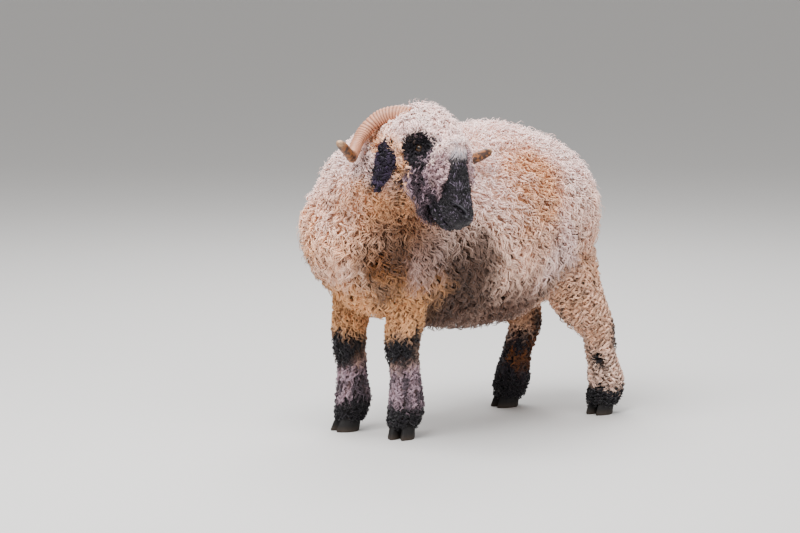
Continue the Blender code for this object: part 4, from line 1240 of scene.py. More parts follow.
def horn_grooves(t, turn):
    """Depth of the grooves between a horn's ridges: a power of a cosine along it, tilted round it."""
    phase = 2 * math.pi * (HORN_RIDGES * t + 0.5 * np.sin(11 * t) + 0.2 * np.sin(31 * t))[:, None]
    phase = phase + 0.9 * np.sin(turn + 0.6) + 0.35 * np.sin(3 * turn + 2)
    return (0.5 + 0.5 * np.cos(phase)) ** 3


def horn_colours(points, t, lines):
    """Colours of a horn: tan with dark lines, then amber with dark spots, and a pale tip."""
    colour = HORN_TAN + (HORN_LINE - HORN_TAN) * (lines * 0.80)[..., None]
    late = smooth(t, 0.66, 0.80)[:, None, None]
    colour = colour * (1 - late) + HORN_AMBER * late
    tip = smooth(t, 0.955, 0.990)[:, None, None]
    colour = (colour * (1 - tip) + HORN_PALE * tip).reshape(-1, 3)
    colour = np.vstack((colour, colour[0], colour[-1]))
    weight = np.append(np.repeat((late * (1 - 0.6 * tip))[:, 0, 0], lines.shape[1]), (0, 0))
    patch = lattice_noise(points, 0.006, 61)
    return blend(colour, HORN_SPOTS, weight * smooth(patch, -0.10, 0.15) * 0.9)


def horn_shape(side, count=260, sides=48):
    """A horn: an oval section carried along a screw, with uneven ridges that fade towards a round tip."""
    t = np.linspace(0, 1, count)
    turn = around(sides)[None, :]
    centre = horn_line(side, t)
    way = unit(np.gradient(centre, axis=0))
    a_axis = unit(ALONG - way * (way @ ALONG)[:, None])
    b_axis = np.cross(way, a_axis)
    end = np.clip((t - 1 + HORN_TIP) / HORN_TIP, 0, 1)
    radius = HORN_RADIUS * (1 - HORN_TAPER * t) * np.sqrt(np.maximum(1 - end**2.4, 1e-5))
    groove = horn_grooves(t, turn)
    fade = (1 - smooth(t, 0.62, 0.80))[:, None]
    bulge = 0.0006 * np.sin(2 * math.pi * 6 * t)[:, None]
    size = np.maximum(radius[:, None] + fade * (0.0006 - 0.0019 * groove + bulge), 2e-4)
    keel = 1 + 0.05 * np.cos(2 * turn + 1.0)
    across = a_axis[:, None] * (size * HORN_FLATTEN * np.cos(turn) * keel)[..., None]
    deep = b_axis[:, None] * (size * np.sin(turn) * keel)[..., None]
    points, faces = closed_rings(head_placed(centre[:, None] + across + deep))
    return points, faces, horn_colours(points, t, groove * fade)


def claw_shape(foot, half, levels=28, sides=56):
    """One claw: a pointed oval sole that narrows and leans back as it rises, with shallow growth rings."""
    x, y, turn = foot
    angle = around(sides)
    forward = CLAW_LENGTH / 2 * np.cos(angle)
    point = 1 - CLAW_POINT * np.maximum(np.cos(angle), 0) ** 2
    outward = np.sin(angle) * point
    outward = np.where(outward > 0, outward * CLAW_WIDTH * 0.6, outward * CLAW_WIDTH * 0.4)
    share = np.linspace(0, 1, levels)
    size = read_rows(share, CLAW_SIZES) + 0.006 * np.sin(share * 46) * smooth(share, 0.1, 0.3)
    lean = read_rows(share, CLAW_BACK)
    rings = []
    for s, width, back in zip(share, size, lean):
        ahead = width * forward + CLAW_AHEAD - back * CLAW_LEAN
        aside = half * (width * outward + CLAW_WIDTH * 0.4 + CLAW_GAP / 2)
        east = x + ahead * math.sin(turn) + aside * math.cos(turn)
        north = y - ahead * math.cos(turn) + aside * math.sin(turn)
        rings.append(np.stack((east, north, np.full(sides, s * CORONET_HEIGHT)), axis=1))
    rings = np.array(rings)
    return closed_rings(rings if half > 0 else rings[:, ::-1])


# The coat.

# How deep roots sit in the skin, the size of a lock's patch on the map, and its middle line's least height.
SINK = 0.004
PATCH = 0.003
FLOOR_GAP = 0.005
# Locks' random shares of height and of length, how flat their curls and sections are, and how light their
# roots are, as painted shade between the locks.
LOW_TO_HIGH = (0.50, 1.05)
SHORT_TO_LONG = (0.82, 1.15)
FLATTENED = 0.85
ROOT_SHADE = 0.72
# Random places tried on each square of the spacing's size.
TRIES = 3.5


def spread_roots(skin, spacing, wanted, seed):
    """Roots scattered over a skin where wanted: many random points, then the one nearest each cell's middle.

    skin holds points, triangles and normals, and wanted a weight for each triangle. Gives places and normals.
    """
    random = np.random.default_rng(seed)
    points, faces, normals = skin
    corners = points[faces]
    area = np.linalg.norm(np.cross(corners[:, 1] - corners[:, 0], corners[:, 2] - corners[:, 0]), axis=1) / 2
    area = area * wanted
    count = int(TRIES * area.sum() / spacing**2)
    which = random.choice(len(faces), count, p=area / area.sum())
    u, v = random.uniform(0, 1, (2, count))
    u, v = np.where(u + v > 1, 1 - u, u), np.where(u + v > 1, 1 - v, v)
    share = np.stack((1 - u - v, u, v), axis=1)[..., None]
    roots = (corners[which] * share).sum(axis=1)
    facing = unit((normals[faces[which]] * share).sum(axis=1))
    cell = np.floor(roots / spacing).astype(int)
    off = np.linalg.norm(roots / spacing - cell - 0.5, axis=1)
    order = np.argsort(off)
    _, first = np.unique(cell[order], axis=0, return_index=True)
    kept = np.sort(order[first])
    return roots[kept], facing[kept]


def leaders_of(roots, size, seed):
    """For each root the nearest of a sparser set of roots, one to a cell of the given size."""
    random = np.random.default_rng(seed)
    cell = np.floor(roots / size + random.uniform(0, 1, 3)).astype(int)
    _, first = np.unique(cell, axis=0, return_index=True)
    chosen = roots[first]
    nearest = np.empty(len(roots), int)
    for start in range(0, len(roots), 2000):
        gap = ((roots[start:start + 2000, None] - chosen) ** 2).sum(axis=2)
        nearest[start:start + 2000] = first[np.argmin(gap, axis=1)]
    return nearest


def lie_of_coat(roots, normals, flow, swirl, seed):
    """The way the coat lies: the flow laid on the skin and turned by a smooth random angle."""
    flat = unit(flow - normals * (flow * normals).sum(axis=1)[:, None] + 1e-6)
    angle = swirl * (lattice_noise(roots, 0.040, seed) + 0.6 * lattice_noise(roots, 0.016, seed + 1))
    cross = np.cross(normals, flat)
    return unit(flat * np.cos(angle)[:, None] + cross * np.sin(angle)[:, None])


def per_lock(value, count):
    """One value, or one for each lock, shaped to go with the points of all locks."""
    return np.broadcast_to(value, count)[:, None, None]


def leaning_lines(roots, normals, lie, t, tall, long, droop):
    """Middle lines of locks at shares t of their length.

    They rise from the skin as one less the square of what is left, run along the lie, and droop by a power.
    """
    bend = t[None, :, None]
    run = np.sqrt(np.maximum(long**2 - tall**2, (0.25 * long) ** 2))
    rise = (tall + SINK) * (1 - (1 - bend) ** 2) - SINK
    line = roots[:, None] + normals[:, None] * rise + lie[:, None] * run * bend**1.35
    return line + DOWN * per_lock(droop, len(roots)) * long * bend**2.2


def gathered(line, leader, gather, clump, t):
    """Lines drawn part of the way to the tip of their clump's leader, and more so towards their own tip."""
    away = line[leader, -1] - line[:, -1]
    away /= np.maximum(1, np.linalg.norm(away, axis=1, keepdims=True) / (1.6 * clump))
    return line + per_lock(gather, len(line)) * t[None, :, None]**1.4 * away[:, None]


def curled(line, normals, lie, leader, curl, turns, loose, t, random):
    """Lines wound in circles across them. A clump winds one way and nearly in step, or less so if loose."""
    count = len(line)
    side = unit(np.cross(lie, normals))
    lift = unit(np.cross(side, lie + 0.3 * normals))
    phase = random.uniform(0, 2 * math.pi, count)
    phase = phase[leader] + loose * random.normal(0, 1.5, count)
    hand = np.where(random.uniform(0, 1, count) < 0.5, 1.0, -1.0)[leader]
    round_by = 2 * math.pi * np.broadcast_to(turns, count)[:, None] * t
    angle = (phase[:, None] + hand[:, None] * round_by)[..., None]
    reach = per_lock(curl, count) * smooth(t[None, :, None], 0.05, 0.45)
    return line + reach * (side[:, None] * np.cos(angle) + FLATTENED * lift[:, None] * np.sin(angle))


def lock_rings(line, normals, thick, t, random):
    """Three points round each step of the lines: thickest past the middle, narrow at the tip."""
    count = len(line)
    way = unit(np.gradient(line, axis=1))
    ref = unit(normals + 0.45 * random.normal(0, 1, (count, 3)))[:, None]
    across = unit(np.cross(way, ref))
    over = np.cross(way, across)
    swell = (0.62 + 0.38 * np.sin(math.pi * np.minimum(t * 1.05, 1))) * (1 - 0.72 * t**5)
    spin = random.uniform(0, 2 * math.pi, (count, 1, 1)) + around(3)
    ring = across[:, :, None] * np.cos(spin)[..., None]
    ring = ring + FLATTENED * over[:, :, None] * np.sin(spin)[..., None]
    return line[:, :, None] + thick[..., None] * swell[None, :, None, None] * ring


def locks(
    name, roots, normals, lie, seed, height, length, width, curl, turns, droop, gather, clump, stations,
    loose=0.35, dark=ROOT_SHADE, tones=(0.94, 1.06), clump_tones=(0.90, 1.10), painted=None,
):
    """Locks of wool: thin closed tubes of three sides that rise, lean over and curl towards their tips.

    Sizes are in metres, one value or one for each root. Colours are the coat's unless painted gives them,
    and darker and warmer towards the root, as painted shade between the locks. No lock goes under the floor.
    """
    random = np.random.default_rng(seed)
    count = len(roots)
    t = np.linspace(0, 1, stations) ** 0.9
    vary = random.uniform(*SHORT_TO_LONG, (count, 1, 1))
    tall = per_lock(height, count) * random.uniform(*LOW_TO_HIGH, (count, 1, 1))
    line = leaning_lines(roots, normals, lie, t, tall, per_lock(length, count) * vary, droop)
    leader = leaders_of(roots, clump, seed + 1)
    line = gathered(line, leader, gather, clump, t)
    line = curled(line, normals, lie, leader, curl, turns, loose, t, random)
    line[:, :, 2] = np.maximum(line[:, :, 2], FLOOR_GAP)
    points = lock_rings(line, normals, per_lock(width, count) * vary / 2, t, random)
    faces, corners = lock_faces(stations)
    every = (faces[None] + (np.arange(count) * stations * 3)[:, None, None]).reshape(-1, 3)
    _, place, _ = coat_ground(roots)
    places = place[:, None, None] + PATCH * corners[None]
    tone = random.uniform(*tones, (count, 1)) * random.uniform(*clump_tones, (count, 1))[leader]
    if painted is None:
        painted = coat_colour(roots + normals * np.reshape(np.broadcast_to(height, count), (-1, 1)))
    # Painted shade: darker and warmer at the root, where the locks shade each other, and a little lighter at
    # the tip.
    tip = smooth(t, 0.05, 0.7)[:, None]
    shade = dark / ROOT_SHADE * ROOT_TINT * (1 - tip) + 1.06 * tip
    colour = (painted * tone)[:, None, None] * shade[None, :, None] * np.ones((1, 1, 3, 1))
    return put_mesh(name, points.reshape(-1, 3), every, colour.reshape(-1, 3), places.reshape(-1, 2))


def lock_faces(stations):
    """Triangles of one closed lock of three sides, and the place of each corner on its patch of the map."""
    faces, corners = [], []
    for i in range(stations - 1):
        for k in range(3):
            low, after = i * 3 + k, i * 3 + (k + 1) % 3
            high, high_after = low + 3, after + 3
            u0, u1 = k / 3, (k + 1) / 3
            v0, v1 = i / (stations - 1), (i + 1) / (stations - 1)
            faces += [(low, after, high_after), (low, high_after, high)]
            corners += [((u0, v0), (u1, v0), (u1, v1)), ((u0, v0), (u1, v1), (u0, v1))]
    last = (stations - 1) * 3
    faces += [(2, 1, 0), (last, last + 1, last + 2)]
    corners += [((0.6, 0.0), (0.3, 0.0), (0.0, 0.0)), ((0.0, 1.0), (0.3, 1.0), (0.6, 1.0))]
    return np.array(faces), np.array(corners) - 0.5


def inside(name, points, margin):
    """Whether points lie inside a tube's core by more than the margin."""
    tube = TUBES[name]
    distance, near, _ = near_tube(tube, points)
    inner = (near > 0) & (near < len(tube["centre"]) - 1)
    return inner & (distance < -margin)


def body_group(roots, normals):
    """Name of the coat piece each place on the body belongs to."""
    part = coat_ground(roots)[2]
    x, y, z = roots.T
    facing = normals[:, 2]
    group = np.where(x > 0, "left", "right").astype(object)
    group[facing > 0.62] = "back"
    group[y > 0.28] = "rump"
    group[facing < -0.55] = "belly"
    group[(y < -0.36) & (facing < 0.62)] = "chest"
    group[(part == "neck") | (part == "head")] = "neck"
    close = near_tube(TUBES["head"], roots)[0] < 0.085
    group[close & (z < 0.84) & (facing < 0.4)] = "throat"
    group[part == "tail"] = "tail"
    legs = np.char.startswith(part.astype(str), "leg")
    group[legs] = part[legs]
    high = legs & (z > 0.42)
    group[high] = np.where(y[high] > 0, "rump", "chest")
    return group


def body_flow(roots, normals):
    """The coat of the body runs down and back, and out to the sides along the ridge of the back."""
    flow = np.tile(np.array((0.0, 0.38, -1.0)), (len(roots), 1))
    flow[:, 0] += 0.45 * np.tanh(roots[:, 0] / 0.05) * np.clip(normals[:, 2], 0, 1)
    flow[:, 1] -= 0.30 * (1 - smooth(roots[:, 2], 0.30, 0.45))
    return flow


# Each piece of the body's coat: share of the settings' spacing, stations along a lock, and how far locks wind
# into ringlets.
BODY_PIECES = {
    "back": (0.88, 7, 0.0),
    "left": (0.86, 8, 0.0),
    "right": (0.96, 8, 0.0),
    "rump": (0.94, 10, 0.1),
    "belly": (1.10, 9, 0.1),
    "chest": (0.84, 9, 0.1),
    "neck": (0.88, 9, 0.3),
    "throat": (0.74, 14, 1.0),
    "tail": (0.80, 7, 0.2),
    "leg_front_left": (0.80, 8, 0.4),
    "leg_front_right": (0.88, 7, 0.3),
    "leg_hind_left": (1.08, 13, 1.0),
    "leg_hind_right": (0.88, 8, 0.5),
}


def grow_body_piece(name, number, row, skin, wanted, settings):
    """One piece of the body's coat. Its locks follow their height, the nearness of the thigh and its row."""
    share, stations, ring = row
    roots, normals = spread_roots(skin, settings.spacing * share, wanted, 110 + number)
    depth, _, _ = coat_ground(roots)
    curly = curliness(roots)
    thigh = smooth(roots[:, 1], 0.16, 0.26) * (1 - smooth(roots[:, 2], 0.46, 0.60))
    wound = np.clip(ring + 0.8 * thigh, 0, 1)
    if name.startswith("leg") or name == "tail":
        near_floor = 0.5 + 0.5 * smooth(roots[:, 2], 0.045, 0.12)
        rise, clump = 0.50, 0.014
        length = (0.025 + 0.013 * wound) * near_floor
        width = 0.0050 + 0.0026 * wound
        curl = 0.0036 + 0.0028 * wound
    else:
        rise, clump = 0.68, 0.020
        length = 0.025 + 0.026 * curly + 0.010 * wound
        width = 0.0046 + 0.0016 * curly - 0.0006 * ring
        curl = 0.0032 + 0.0030 * curly + 0.0028 * wound
    swirl = 1.5 - 0.6 * curly - 0.2 * ring
    lie = lie_of_coat(roots, normals, body_flow(roots, normals), swirl, 181 + number)
    # Ringlets get darker roots, as painted shade in the gaps between them.
    return locks(
        "coat_" + name, roots, normals, lie, 1000 + 10 * number, height=np.maximum(depth * rise, 0.004),
        length=length * settings.length, width=width * settings.width, curl=curl,
        turns=1.5 + 0.6 * curly + 1.0 * wound, droop=0.05 + 0.15 * curly,
        gather=0.45 + 0.2 * curly + 0.2 * wound, clump=clump - 0.002 * ring, stations=stations,
        loose=0.26 - 0.18 * curly, dark=ROOT_SHADE - 0.44 * ring,
        clump_tones=(0.92 - 0.36 * ring, 1.08 + 0.20 * ring))


def grow_body_coat(settings):
    """Scatters roots over the body's skin and grows each piece of its coat, curlier towards the belly."""
    skin = mesh_arrays(bpy.data.objects["body_skin"])
    points, faces, normals = skin
    middles, facing = points[faces].mean(axis=1), normals[faces].mean(axis=1)
    group = body_group(middles, facing)
    shown = ~(inside("head", middles, 0.004) | (middles[:, 2] < CORONET_HEIGHT - 0.004))
    finish = wool_finish("trunk wool", settings.sheen)
    for number, (name, row) in enumerate(BODY_PIECES.items()):
        made = grow_body_piece(name, number, row, skin, (group == name) & shown, settings)
        fit_piece(made, finish, "fleece")


def head_flow(roots):
    """The wool of the head falls forwards and aside from the poll, down the cheeks, and off the eyes."""
    along, aside, over = head_measures(roots)
    forward, left, up = HEAD_AXES.T
    ahead = (1 - smooth(along, 0.03, 0.08))[:, None]
    down = np.clip(-over / 0.05 + 0.6, 0.25, 1.6)[:, None]
    flow = forward * 0.5 * ahead - up * down + left * (0.5 * np.tanh(aside / 0.03))[:, None]
    for side, _ in SIDES:
        depth, off, gone = from_eye(roots, side)
        close = (1 - smooth(gone, 0.030, 0.060)) * (depth > -0.02)
        flow = flow + 2.5 * close[:, None] * unit(off)
    return flow


def eye_gap(points):
    """Distance of points from the nearer eye's line of sight, for those ahead of that eye."""
    gone = np.full(len(points), 1.0)
    for side, _ in SIDES:
        depth, _, off = from_eye(points, side)
        gone = np.where(depth > -0.006, np.minimum(gone, off), gone)
    return gone


def horn_gap(points):
    """Distance of points from the nearer horn's root stretch."""
    gap = np.full(len(points), 1.0)
    for side, _ in SIDES:
        for centre in head_placed(horn_line(side, np.linspace(0, 0.5, 24))):
            gap = np.minimum(gap, np.linalg.norm(points - centre, axis=1))
    return gap


def head_zones(points):
    """Which wool grows at places on the head, by the names of HEAD_PIECES, muzzle or none."""
    along, aside, over = head_measures(points)
    gone = eye_gap(points)
    edge = past_muzzle_edge(along, aside, over)
    zone = np.full(len(points), "cheek_ringlets", object)
    zone[(along >= 0.026) & (over <= 0.030)] = "face_curls"
    zone[over > np.where(along < 0.03, -0.012, 0.030)] = "topknot"
    zone[gone < 0.043] = "eye_curls"
    zone[(along > 0.040) & (over > 0.018) & (np.abs(aside) < 0.034)] = "bridge"
    zone[(edge > 0.0) & (gone > 0.03)] = "muzzle"
    bare = (gone < 0.0165) | (along > 0.231) | (horn_gap(points) < 0.024) | (nostril_reach(points) < 1.45)
    zone[bare | inside("neck", points, 0.012)] = "none"
    return zone


MUZZLE_SPACING = 0.0034
EAR_SPACING = 0.0044
HEAD_WISP_SPACING = 0.0095

# Wool of the head: spacing, length, width, curl's radius, turns, droop, gather, clump, stations, height as a
# share of the coat's depth, and least height.
HEAD_PIECES = {
    "topknot": (0.0056, 0.023, 0.0044, 0.0036, 1.8, 0.08, 0.45, 0.016, 8, 0.60, 0.005),
    "cheek_ringlets": (0.0060, 0.034, 0.0050, 0.0048, 2.8, 0.30, 0.60, 0.015, 12, 0.70, 0.006),
    "face_curls": (0.0052, 0.022, 0.0044, 0.0042, 2.1, 0.25, 0.55, 0.011, 10, 0.90, 0.006),
    "eye_curls": (0.0044, 0.015, 0.0036, 0.0030, 1.8, 0.20, 0.50, 0.009, 8, 0.22, 0.0045),
    "bridge": (0.0037, 0.017, 0.0022, 0.0008, 0.8, 0.05, 0.25, 0.009, 5, 0.15, 0.003),
}


def grow_head_piece(name, number, row, skin, wanted):
    """One piece of the head's wool: a short fringe over the brow, and curls that lengthen to a beard."""
    spacing, length, width, curl, turns, droop, gather, clump, stations, rise, least = row
    roots, normals = spread_roots(skin, spacing, wanted, 21 + number)
    depth, _, _ = coat_ground(roots)
    swirl = 0.25 if name == "bridge" else 1.1
    lie = lie_of_coat(roots, normals, head_flow(roots), swirl, 230 + number)
    along, _, over = head_measures(roots)
    if name == "topknot":
        length = length * (1 - 0.40 * smooth(along, 0.02, 0.05))
    if name == "face_curls":
        beard = smooth(-over, 0.03, 0.07)
        length, droop = length * (1 + 0.8 * beard), droop + 0.45 * beard
        turns, curl = turns + 1.0 * beard, curl * (1 + 0.25 * beard)
        rise = rise * (1 + 1.1 * smooth(over, -0.005, 0.015) * smooth(along, 0.05, 0.07))
    tall = np.maximum(depth * rise, least)
    return locks(
        name, roots, normals, lie, 300 + 10 * number, tall, length, width, curl, turns, droop, gather, clump,
        stations)


def grow_muzzle_fur(skin, wanted):
    """Short black fur of the muzzle, lying back along the nose, with small pale specks painted in as glints
    on the hair.
    """
    roots, normals = spread_roots(skin, MUZZLE_SPACING, wanted, 29)
    back = -head_turned(np.tile(np.array((0.85, 0.0, -0.5)), (len(roots), 1)))
    lie = lie_of_coat(roots, normals, back, 0.35, 290)
    shorter = 1 - 0.45 * smooth(head_measures(roots)[0], 0.19, 0.225)
    # Pale specks painted in as glints on the hair.
    glint_flecks = smooth(lattice_noise(roots, 0.0030, 73) + 0.5 * lattice_noise(roots, 0.010, 74), 0.10, 0.80)
    return locks(
        "muzzle_fur", roots, normals, lie, 390, height=0.0032 * shorter, length=0.0095 * shorter,
        width=0.0024, curl=0.0008, turns=0.8, droop=0.0, gather=0.50, clump=0.006, stations=4,
        tones=(0.5, 1.5), clump_tones=(0.5, 2.0), painted=coat_colour(roots) * (0.4 + 8 * glint_flecks[:, None]))


def grow_head_coat(settings):
    """Topknot, ringlets of the cheeks, dark curls of the face and short fur of the muzzle."""
    skin = mesh_arrays(bpy.data.objects["head_skin"])
    zone = head_zones(skin[0][skin[1]].mean(axis=1))
    finish = wool_finish("head wool", settings.sheen)
    dark = wool_finish("dark curls", 0.06)
    for number, (name, row) in enumerate(HEAD_PIECES.items()):
        made = grow_head_piece(name, number, row, skin, zone == name)
        fit_piece(made, dark if name in ("face_curls", "eye_curls") else finish, "fleece")
    fit_piece(grow_muzzle_fur(skin, zone == "muzzle"), face_hair_finish(), "dark wool")


def grow_ear_coat(name, side):
    """Short black curls over an ear."""
    skin = mesh_arrays(bpy.data.objects["ear_shell_" + name])
    roots, normals = spread_roots(skin, EAR_SPACING, np.ones(len(skin[1])), 40 + side)
    hang = unit(np.array(EAR_TIP) - np.array(EAR_ROOT)) * (1, side, 1)
    flow = head_turned(np.tile(hang, (len(roots), 1)))
    lie = lie_of_coat(roots, normals, flow, 1.2, 90 + side)
    made = locks(
        "ear_wool_" + name, roots, normals, lie, 400 + side, height=0.0065, length=0.016, width=0.0038,
        curl=0.0034, turns=2.3, droop=0.10, gather=0.50, clump=0.010, stations=9,
        clump_tones=(0.2, 4.4), painted=BLACK * (1.1, 0.95, 1.35))
    return fit_piece(made, bpy.data.materials["dark curls"], "dark wool")


def grow_wisps(settings):
    """Thin stray wisps that stand a little past the coat of the trunk and head."""
    skin = mesh_arrays(bpy.data.objects["body_skin"])
    middles = skin[0][skin[1]].mean(axis=1)
    wanted = ~inside("head", middles, 0.0) & (middles[:, 2] > 0.46)
    roots, normals = spread_roots(skin, settings.spacing * 2.1, wanted, 31)
    depth, _, _ = coat_ground(roots)
    lie = lie_of_coat(roots, normals, body_flow(roots, normals), 1.8, 131)
    made = locks(
        "stray_wisps", roots, normals, lie, 500, height=np.maximum(depth * 0.95, 0.008),
        length=np.maximum(depth * 1.5, 0.018), width=0.0018, curl=0.0036, turns=1.5, droop=0.10, gather=0.25,
        clump=0.030, stations=5)
    fit_piece(made, bpy.data.materials["trunk wool"], "fleece")
    skin = mesh_arrays(bpy.data.objects["head_skin"])
    zone = head_zones(skin[0][skin[1]].mean(axis=1))
    wanted = (zone == "topknot") | (zone == "cheek_ringlets")
    roots, normals = spread_roots(skin, HEAD_WISP_SPACING, wanted, 32)
    depth, _, _ = coat_ground(roots)
    lie = lie_of_coat(roots, normals, head_flow(roots), 1.8, 132)
    made = locks(
        "head_wisps", roots, normals, lie, 501, height=np.maximum(depth * 0.95, 0.006),
        length=np.maximum(depth * 1.5, 0.013), width=0.0016, curl=0.0030, turns=1.6, droop=0.05, gather=0.25,
        clump=0.020, stations=6)
    fit_piece(made, bpy.data.materials["head wool"], "fleece")


# The add-on.


def fit_shells(name, shape, finish, slot):
    """A shell on each side, from a shape that gives points, triangles and colours, in the solid's place."""
    for side, which in SIDES:
        made = put_mesh(f"{name}_shell_{which}", *shape(side))
        fit_piece(made, finish, slot, f"{name}_{which}")


class SheepSettings(bpy.types.PropertyGroup):
    """Sizes of the fleece that a user would change."""

    spacing: FloatProperty(
        name="Lock spacing", description="Distance between the roots of locks on the trunk",
        default=0.0100, min=0.006, max=0.03, unit="LENGTH")
    length: FloatProperty(
        name="Lock length", description="Length of the body's locks as a share of their own",
        default=1.0, min=0.5, max=1.3, subtype="FACTOR")
    width: FloatProperty(
        name="Lock width", description="Width of the body's locks as a share of their own",
        default=1.0, min=0.5, max=1.6, subtype="FACTOR")
    sheen: FloatProperty(
        name="Sheen", description="Soft sheen of the wool seen along its surface",
        default=0.14, min=0.0, max=1.0, subtype="FACTOR")
    floor_colour: FloatVectorProperty(
        name="Floor", description="Colour of the studio floor",
        default=(0.56, 0.55, 0.54), min=0.0, max=1.0, size=3, subtype="COLOR")


class SHEEP_OT_skin(bpy.types.Operator):
    """Grow the skin of the body and of the head, with its lips, nostrils and the hollows of the eyes"""

    bl_idname = "sheep.skin"
    bl_label = "Skin"

    def execute(self, context):
        flesh = ["torso", "neck", "tail"] + ["leg_" + name for name in FEET]
        fit_piece(body_skin(), wool_finish("skin under the fleece", 0.1), "fleece", *flesh)
        fit_piece(head_skin(), face_finish(), "fleece", "head")
        return {"FINISHED"}


class SHEEP_OT_eyes(bpy.types.Operator):
    """Make the eyes with their slot pupils, and the lids round them"""

    bl_idname = "sheep.eyes"
    bl_label = "Eyes and lids"

    def execute(self, context):
        wet = eye_finish()
        lid = wool_finish("lid", 0.0)
        lid.node_tree.nodes["Principled BSDF"].inputs["Roughness"].default_value = 0.5
        for side, name in SIDES:
            points, faces, colour = eye_shape(side)
            fit_piece(put_mesh("eyeball_" + name, points, faces, colour), wet, "eye", "eye_" + name)
            points, faces = lid_shape(side)
            made = put_mesh("lids_" + name, points, faces, np.tile(BLACK, (len(points), 1)))
            fit_piece(made, lid, "dark wool")
        return {"FINISHED"}


class SHEEP_OT_ears(bpy.types.Operator):
    """Make the ears as thin cupped shells"""

    bl_idname = "sheep.ears"
    bl_label = "Ears"

    def execute(self, context):
        fit_shells("ear", ear_shape, wool_finish("ear skin", 0.1), "dark wool")
        return {"FINISHED"}


class SHEEP_OT_horns(bpy.types.Operator):
    """Make the ridged horns"""

    bl_idname = "sheep.horns"
    bl_label = "Horns"

    def execute(self, context):
        fit_shells("horn", horn_shape, horn_finish(), "horn")
        return {"FINISHED"}


class SHEEP_OT_claws(bpy.types.Operator):
    """Make the two claws of each foot"""

    bl_idname = "sheep.claws"
    bl_label = "Claws"

    def execute(self, context):
        finish = claw_finish()
        for name, foot in FEET.items():
            for half in (-1, 1):
                which = "outer" if (half > 0) == (foot[0] > 0) else "inner"
                points, faces = claw_shape(foot, half)
                worn = smooth(points[:, 2], 0.0, 0.02)[:, None]
                colour = CLAW_WORN * (1 - worn) + CLAW_DARK * worn
                made = put_mesh(f"claw_{name}_{which}", points, faces, colour)
                fit_piece(made, finish, "claw horn", f"hoof_{name}_{which}")
        return {"FINISHED"}


class SHEEP_OT_fleece(bpy.types.Operator):
    """Grow the fleece of the trunk, neck, tail and legs"""

    bl_idname = "sheep.fleece"
    bl_label = "Fleece"

    def execute(self, context):
        grow_body_coat(context.scene.sheep)
        return {"FINISHED"}


class SHEEP_OT_face(bpy.types.Operator):
    """Grow the topknot, the curls of cheeks and ears, the short fur of the muzzle and the stray wisps"""

    bl_idname = "sheep.face"
    bl_label = "Head wool"

    def execute(self, context):
        grow_head_coat(context.scene.sheep)
        for side, name in SIDES:
            grow_ear_coat(name, side)
        grow_wisps(context.scene.sheep)
        return {"FINISHED"}


class SHEEP_OT_stage(bpy.types.Operator):
    """Lay the pale floor and set the lights and the camera"""

    bl_idname = "sheep.stage"
    bl_label = "Stage"

    def execute(self, context):
        lay_floor(context.scene.sheep.floor_colour)
        set_lights()
        set_camera()
        return {"FINISHED"}


FLOOR_RADIUS = 30.0
FLOOR_SIDES = 96


def lay_floor(colour):
    """A wide round floor."""
    k = np.arange(FLOOR_SIDES)
    turn = around(FLOOR_SIDES)
    rim = np.stack((FLOOR_RADIUS * np.cos(turn), FLOOR_RADIUS * np.sin(turn), 0 * turn), axis=1)
    centre = MIDDLE * (1, 1, 0)
    faces = np.stack((0 * k, 1 + k, 1 + (k + 1) % FLOOR_SIDES), axis=1)
    floor = put_mesh("floor", np.vstack((centre, rim + centre)), faces)
    material, _, shader = new_finish("studio floor", 0.85, Specular_IOR_Level=0.2)
    shader.inputs["Base Color"].default_value = (*colour, 1.0)
    floor.data.materials.append(material)


# Lights: name, azimuth and height they shine from in degrees, distance, width and strength in watts.
LIGHTS = (
    ("key", 15, 62, 4.2, 3.0, 490),
    ("fill", 95, 30, 4.6, 3.6, 80),
    ("back", 230, 50, 4.4, 3.0, 190),
)


def set_lights():
    """Three wide soft lights round the animal, and a pale sky."""
    for name, azimuth, elevation, far, wide, strength in LIGHTS:
        data = bpy.data.lights.new(name, "AREA")
        data.energy = strength
        data.size = wide
        made = bpy.data.objects.new(name, data)
        bpy.context.scene.collection.objects.link(made)
        aim_from(made, azimuth, elevation, far, np.array((0.0, 0.0, 0.45)))
    world = bpy.data.worlds.new("pale studio")
    world.use_nodes = True
    ground = world.node_tree.nodes["Background"]
    ground.inputs["Color"].default_value = (0.84, 0.83, 0.82, 1.0)
    ground.inputs["Strength"].default_value = 0.80
    bpy.context.scene.world = world


def aim_from(made, azimuth, elevation, far, target):
    """Stands an object away from a target and turns its -Z to it. Azimuth 0 looks along +Y."""
    a, e = math.radians(azimuth), math.radians(elevation)
    back = np.array((math.sin(a) * math.cos(e), -math.cos(a) * math.cos(e), math.sin(e)))
    right = np.array((math.cos(a), math.sin(a), 0.0))
    over = np.cross(back, right)
    place = target + back * far
    rows = [[right[i], over[i], back[i], place[i]] for i in range(3)]
    made.matrix_world = Matrix([*rows, [0.0, 0.0, 0.0, 1.0]])


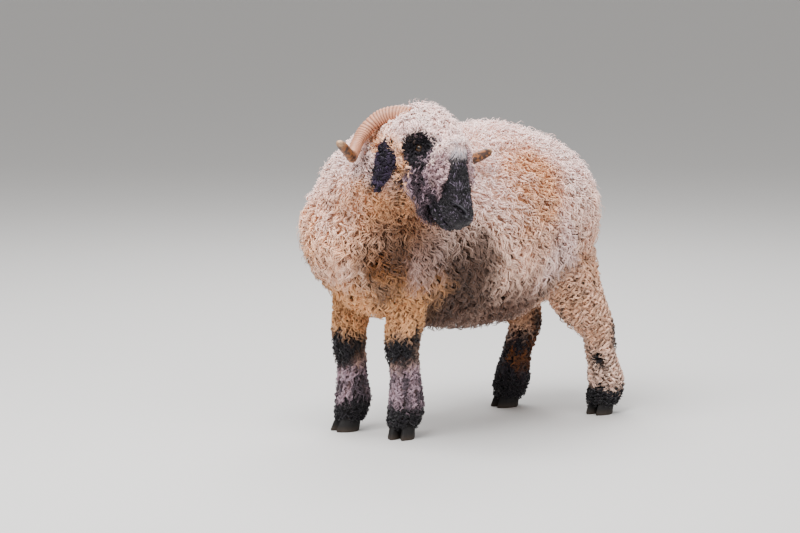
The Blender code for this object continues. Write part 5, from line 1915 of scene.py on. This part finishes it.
CAMERA_AZIMUTH = 50.0
CAMERA_ELEVATION = 7.5
CAMERA_PLACE = np.array((6.33778, -5.53167, 1.53899))
CAMERA_LENS = 139.5
SENSOR = 36.0


def set_camera():
    """The photograph's view, from the camera's place in the modelling frame."""
    data = bpy.data.cameras.new("camera")
    data.sensor_width = SENSOR
    data.lens = CAMERA_LENS
    data.dof.use_dof = False
    made = bpy.data.objects.new("camera", data)
    bpy.context.scene.collection.objects.link(made)
    aim_from(made, CAMERA_AZIMUTH, CAMERA_ELEVATION, 0.0, CAMERA_PLACE - MIDDLE)
    bpy.context.scene.camera = made


class SHEEP_PT_panel(bpy.types.Panel):
    """Lists the pieces of the sheep"""

    bl_idname = "SHEEP_PT_panel"
    bl_label = "Sheep"
    bl_space_type = "VIEW_3D"
    bl_region_type = "UI"
    bl_category = "Sheep"

    def draw(self, context):
        column = self.layout.column(align=True)
        for name in ("spacing", "length", "width", "sheen", "floor_colour"):
            column.prop(context.scene.sheep, name)
        for operator in OPERATORS:
            column.operator(operator.bl_idname)


OPERATORS = (
    SHEEP_OT_skin, SHEEP_OT_eyes, SHEEP_OT_ears, SHEEP_OT_horns, SHEEP_OT_claws,
    SHEEP_OT_fleece, SHEEP_OT_face, SHEEP_OT_stage,
)
CLASSES = (SheepSettings, *OPERATORS, SHEEP_PT_panel)


def register():
    """Adds the classes to Blender, and the settings to its scenes."""
    for made in CLASSES:
        bpy.utils.register_class(made)
    bpy.types.Scene.sheep = PointerProperty(type=SheepSettings)


def unregister():
    """Takes the settings and the classes out again."""
    del bpy.types.Scene.sheep
    for made in reversed(CLASSES):
        bpy.utils.unregister_class(made)


def main():
    """Builds the whole sheep with the operators."""
    register()
    bpy.ops.sheep.skin()
    bpy.ops.sheep.eyes()
    bpy.ops.sheep.ears()
    bpy.ops.sheep.horns()
    bpy.ops.sheep.claws()
    bpy.ops.sheep.fleece()
    bpy.ops.sheep.face()
    bpy.ops.sheep.stage()


if __name__ == "__main__":
    main()
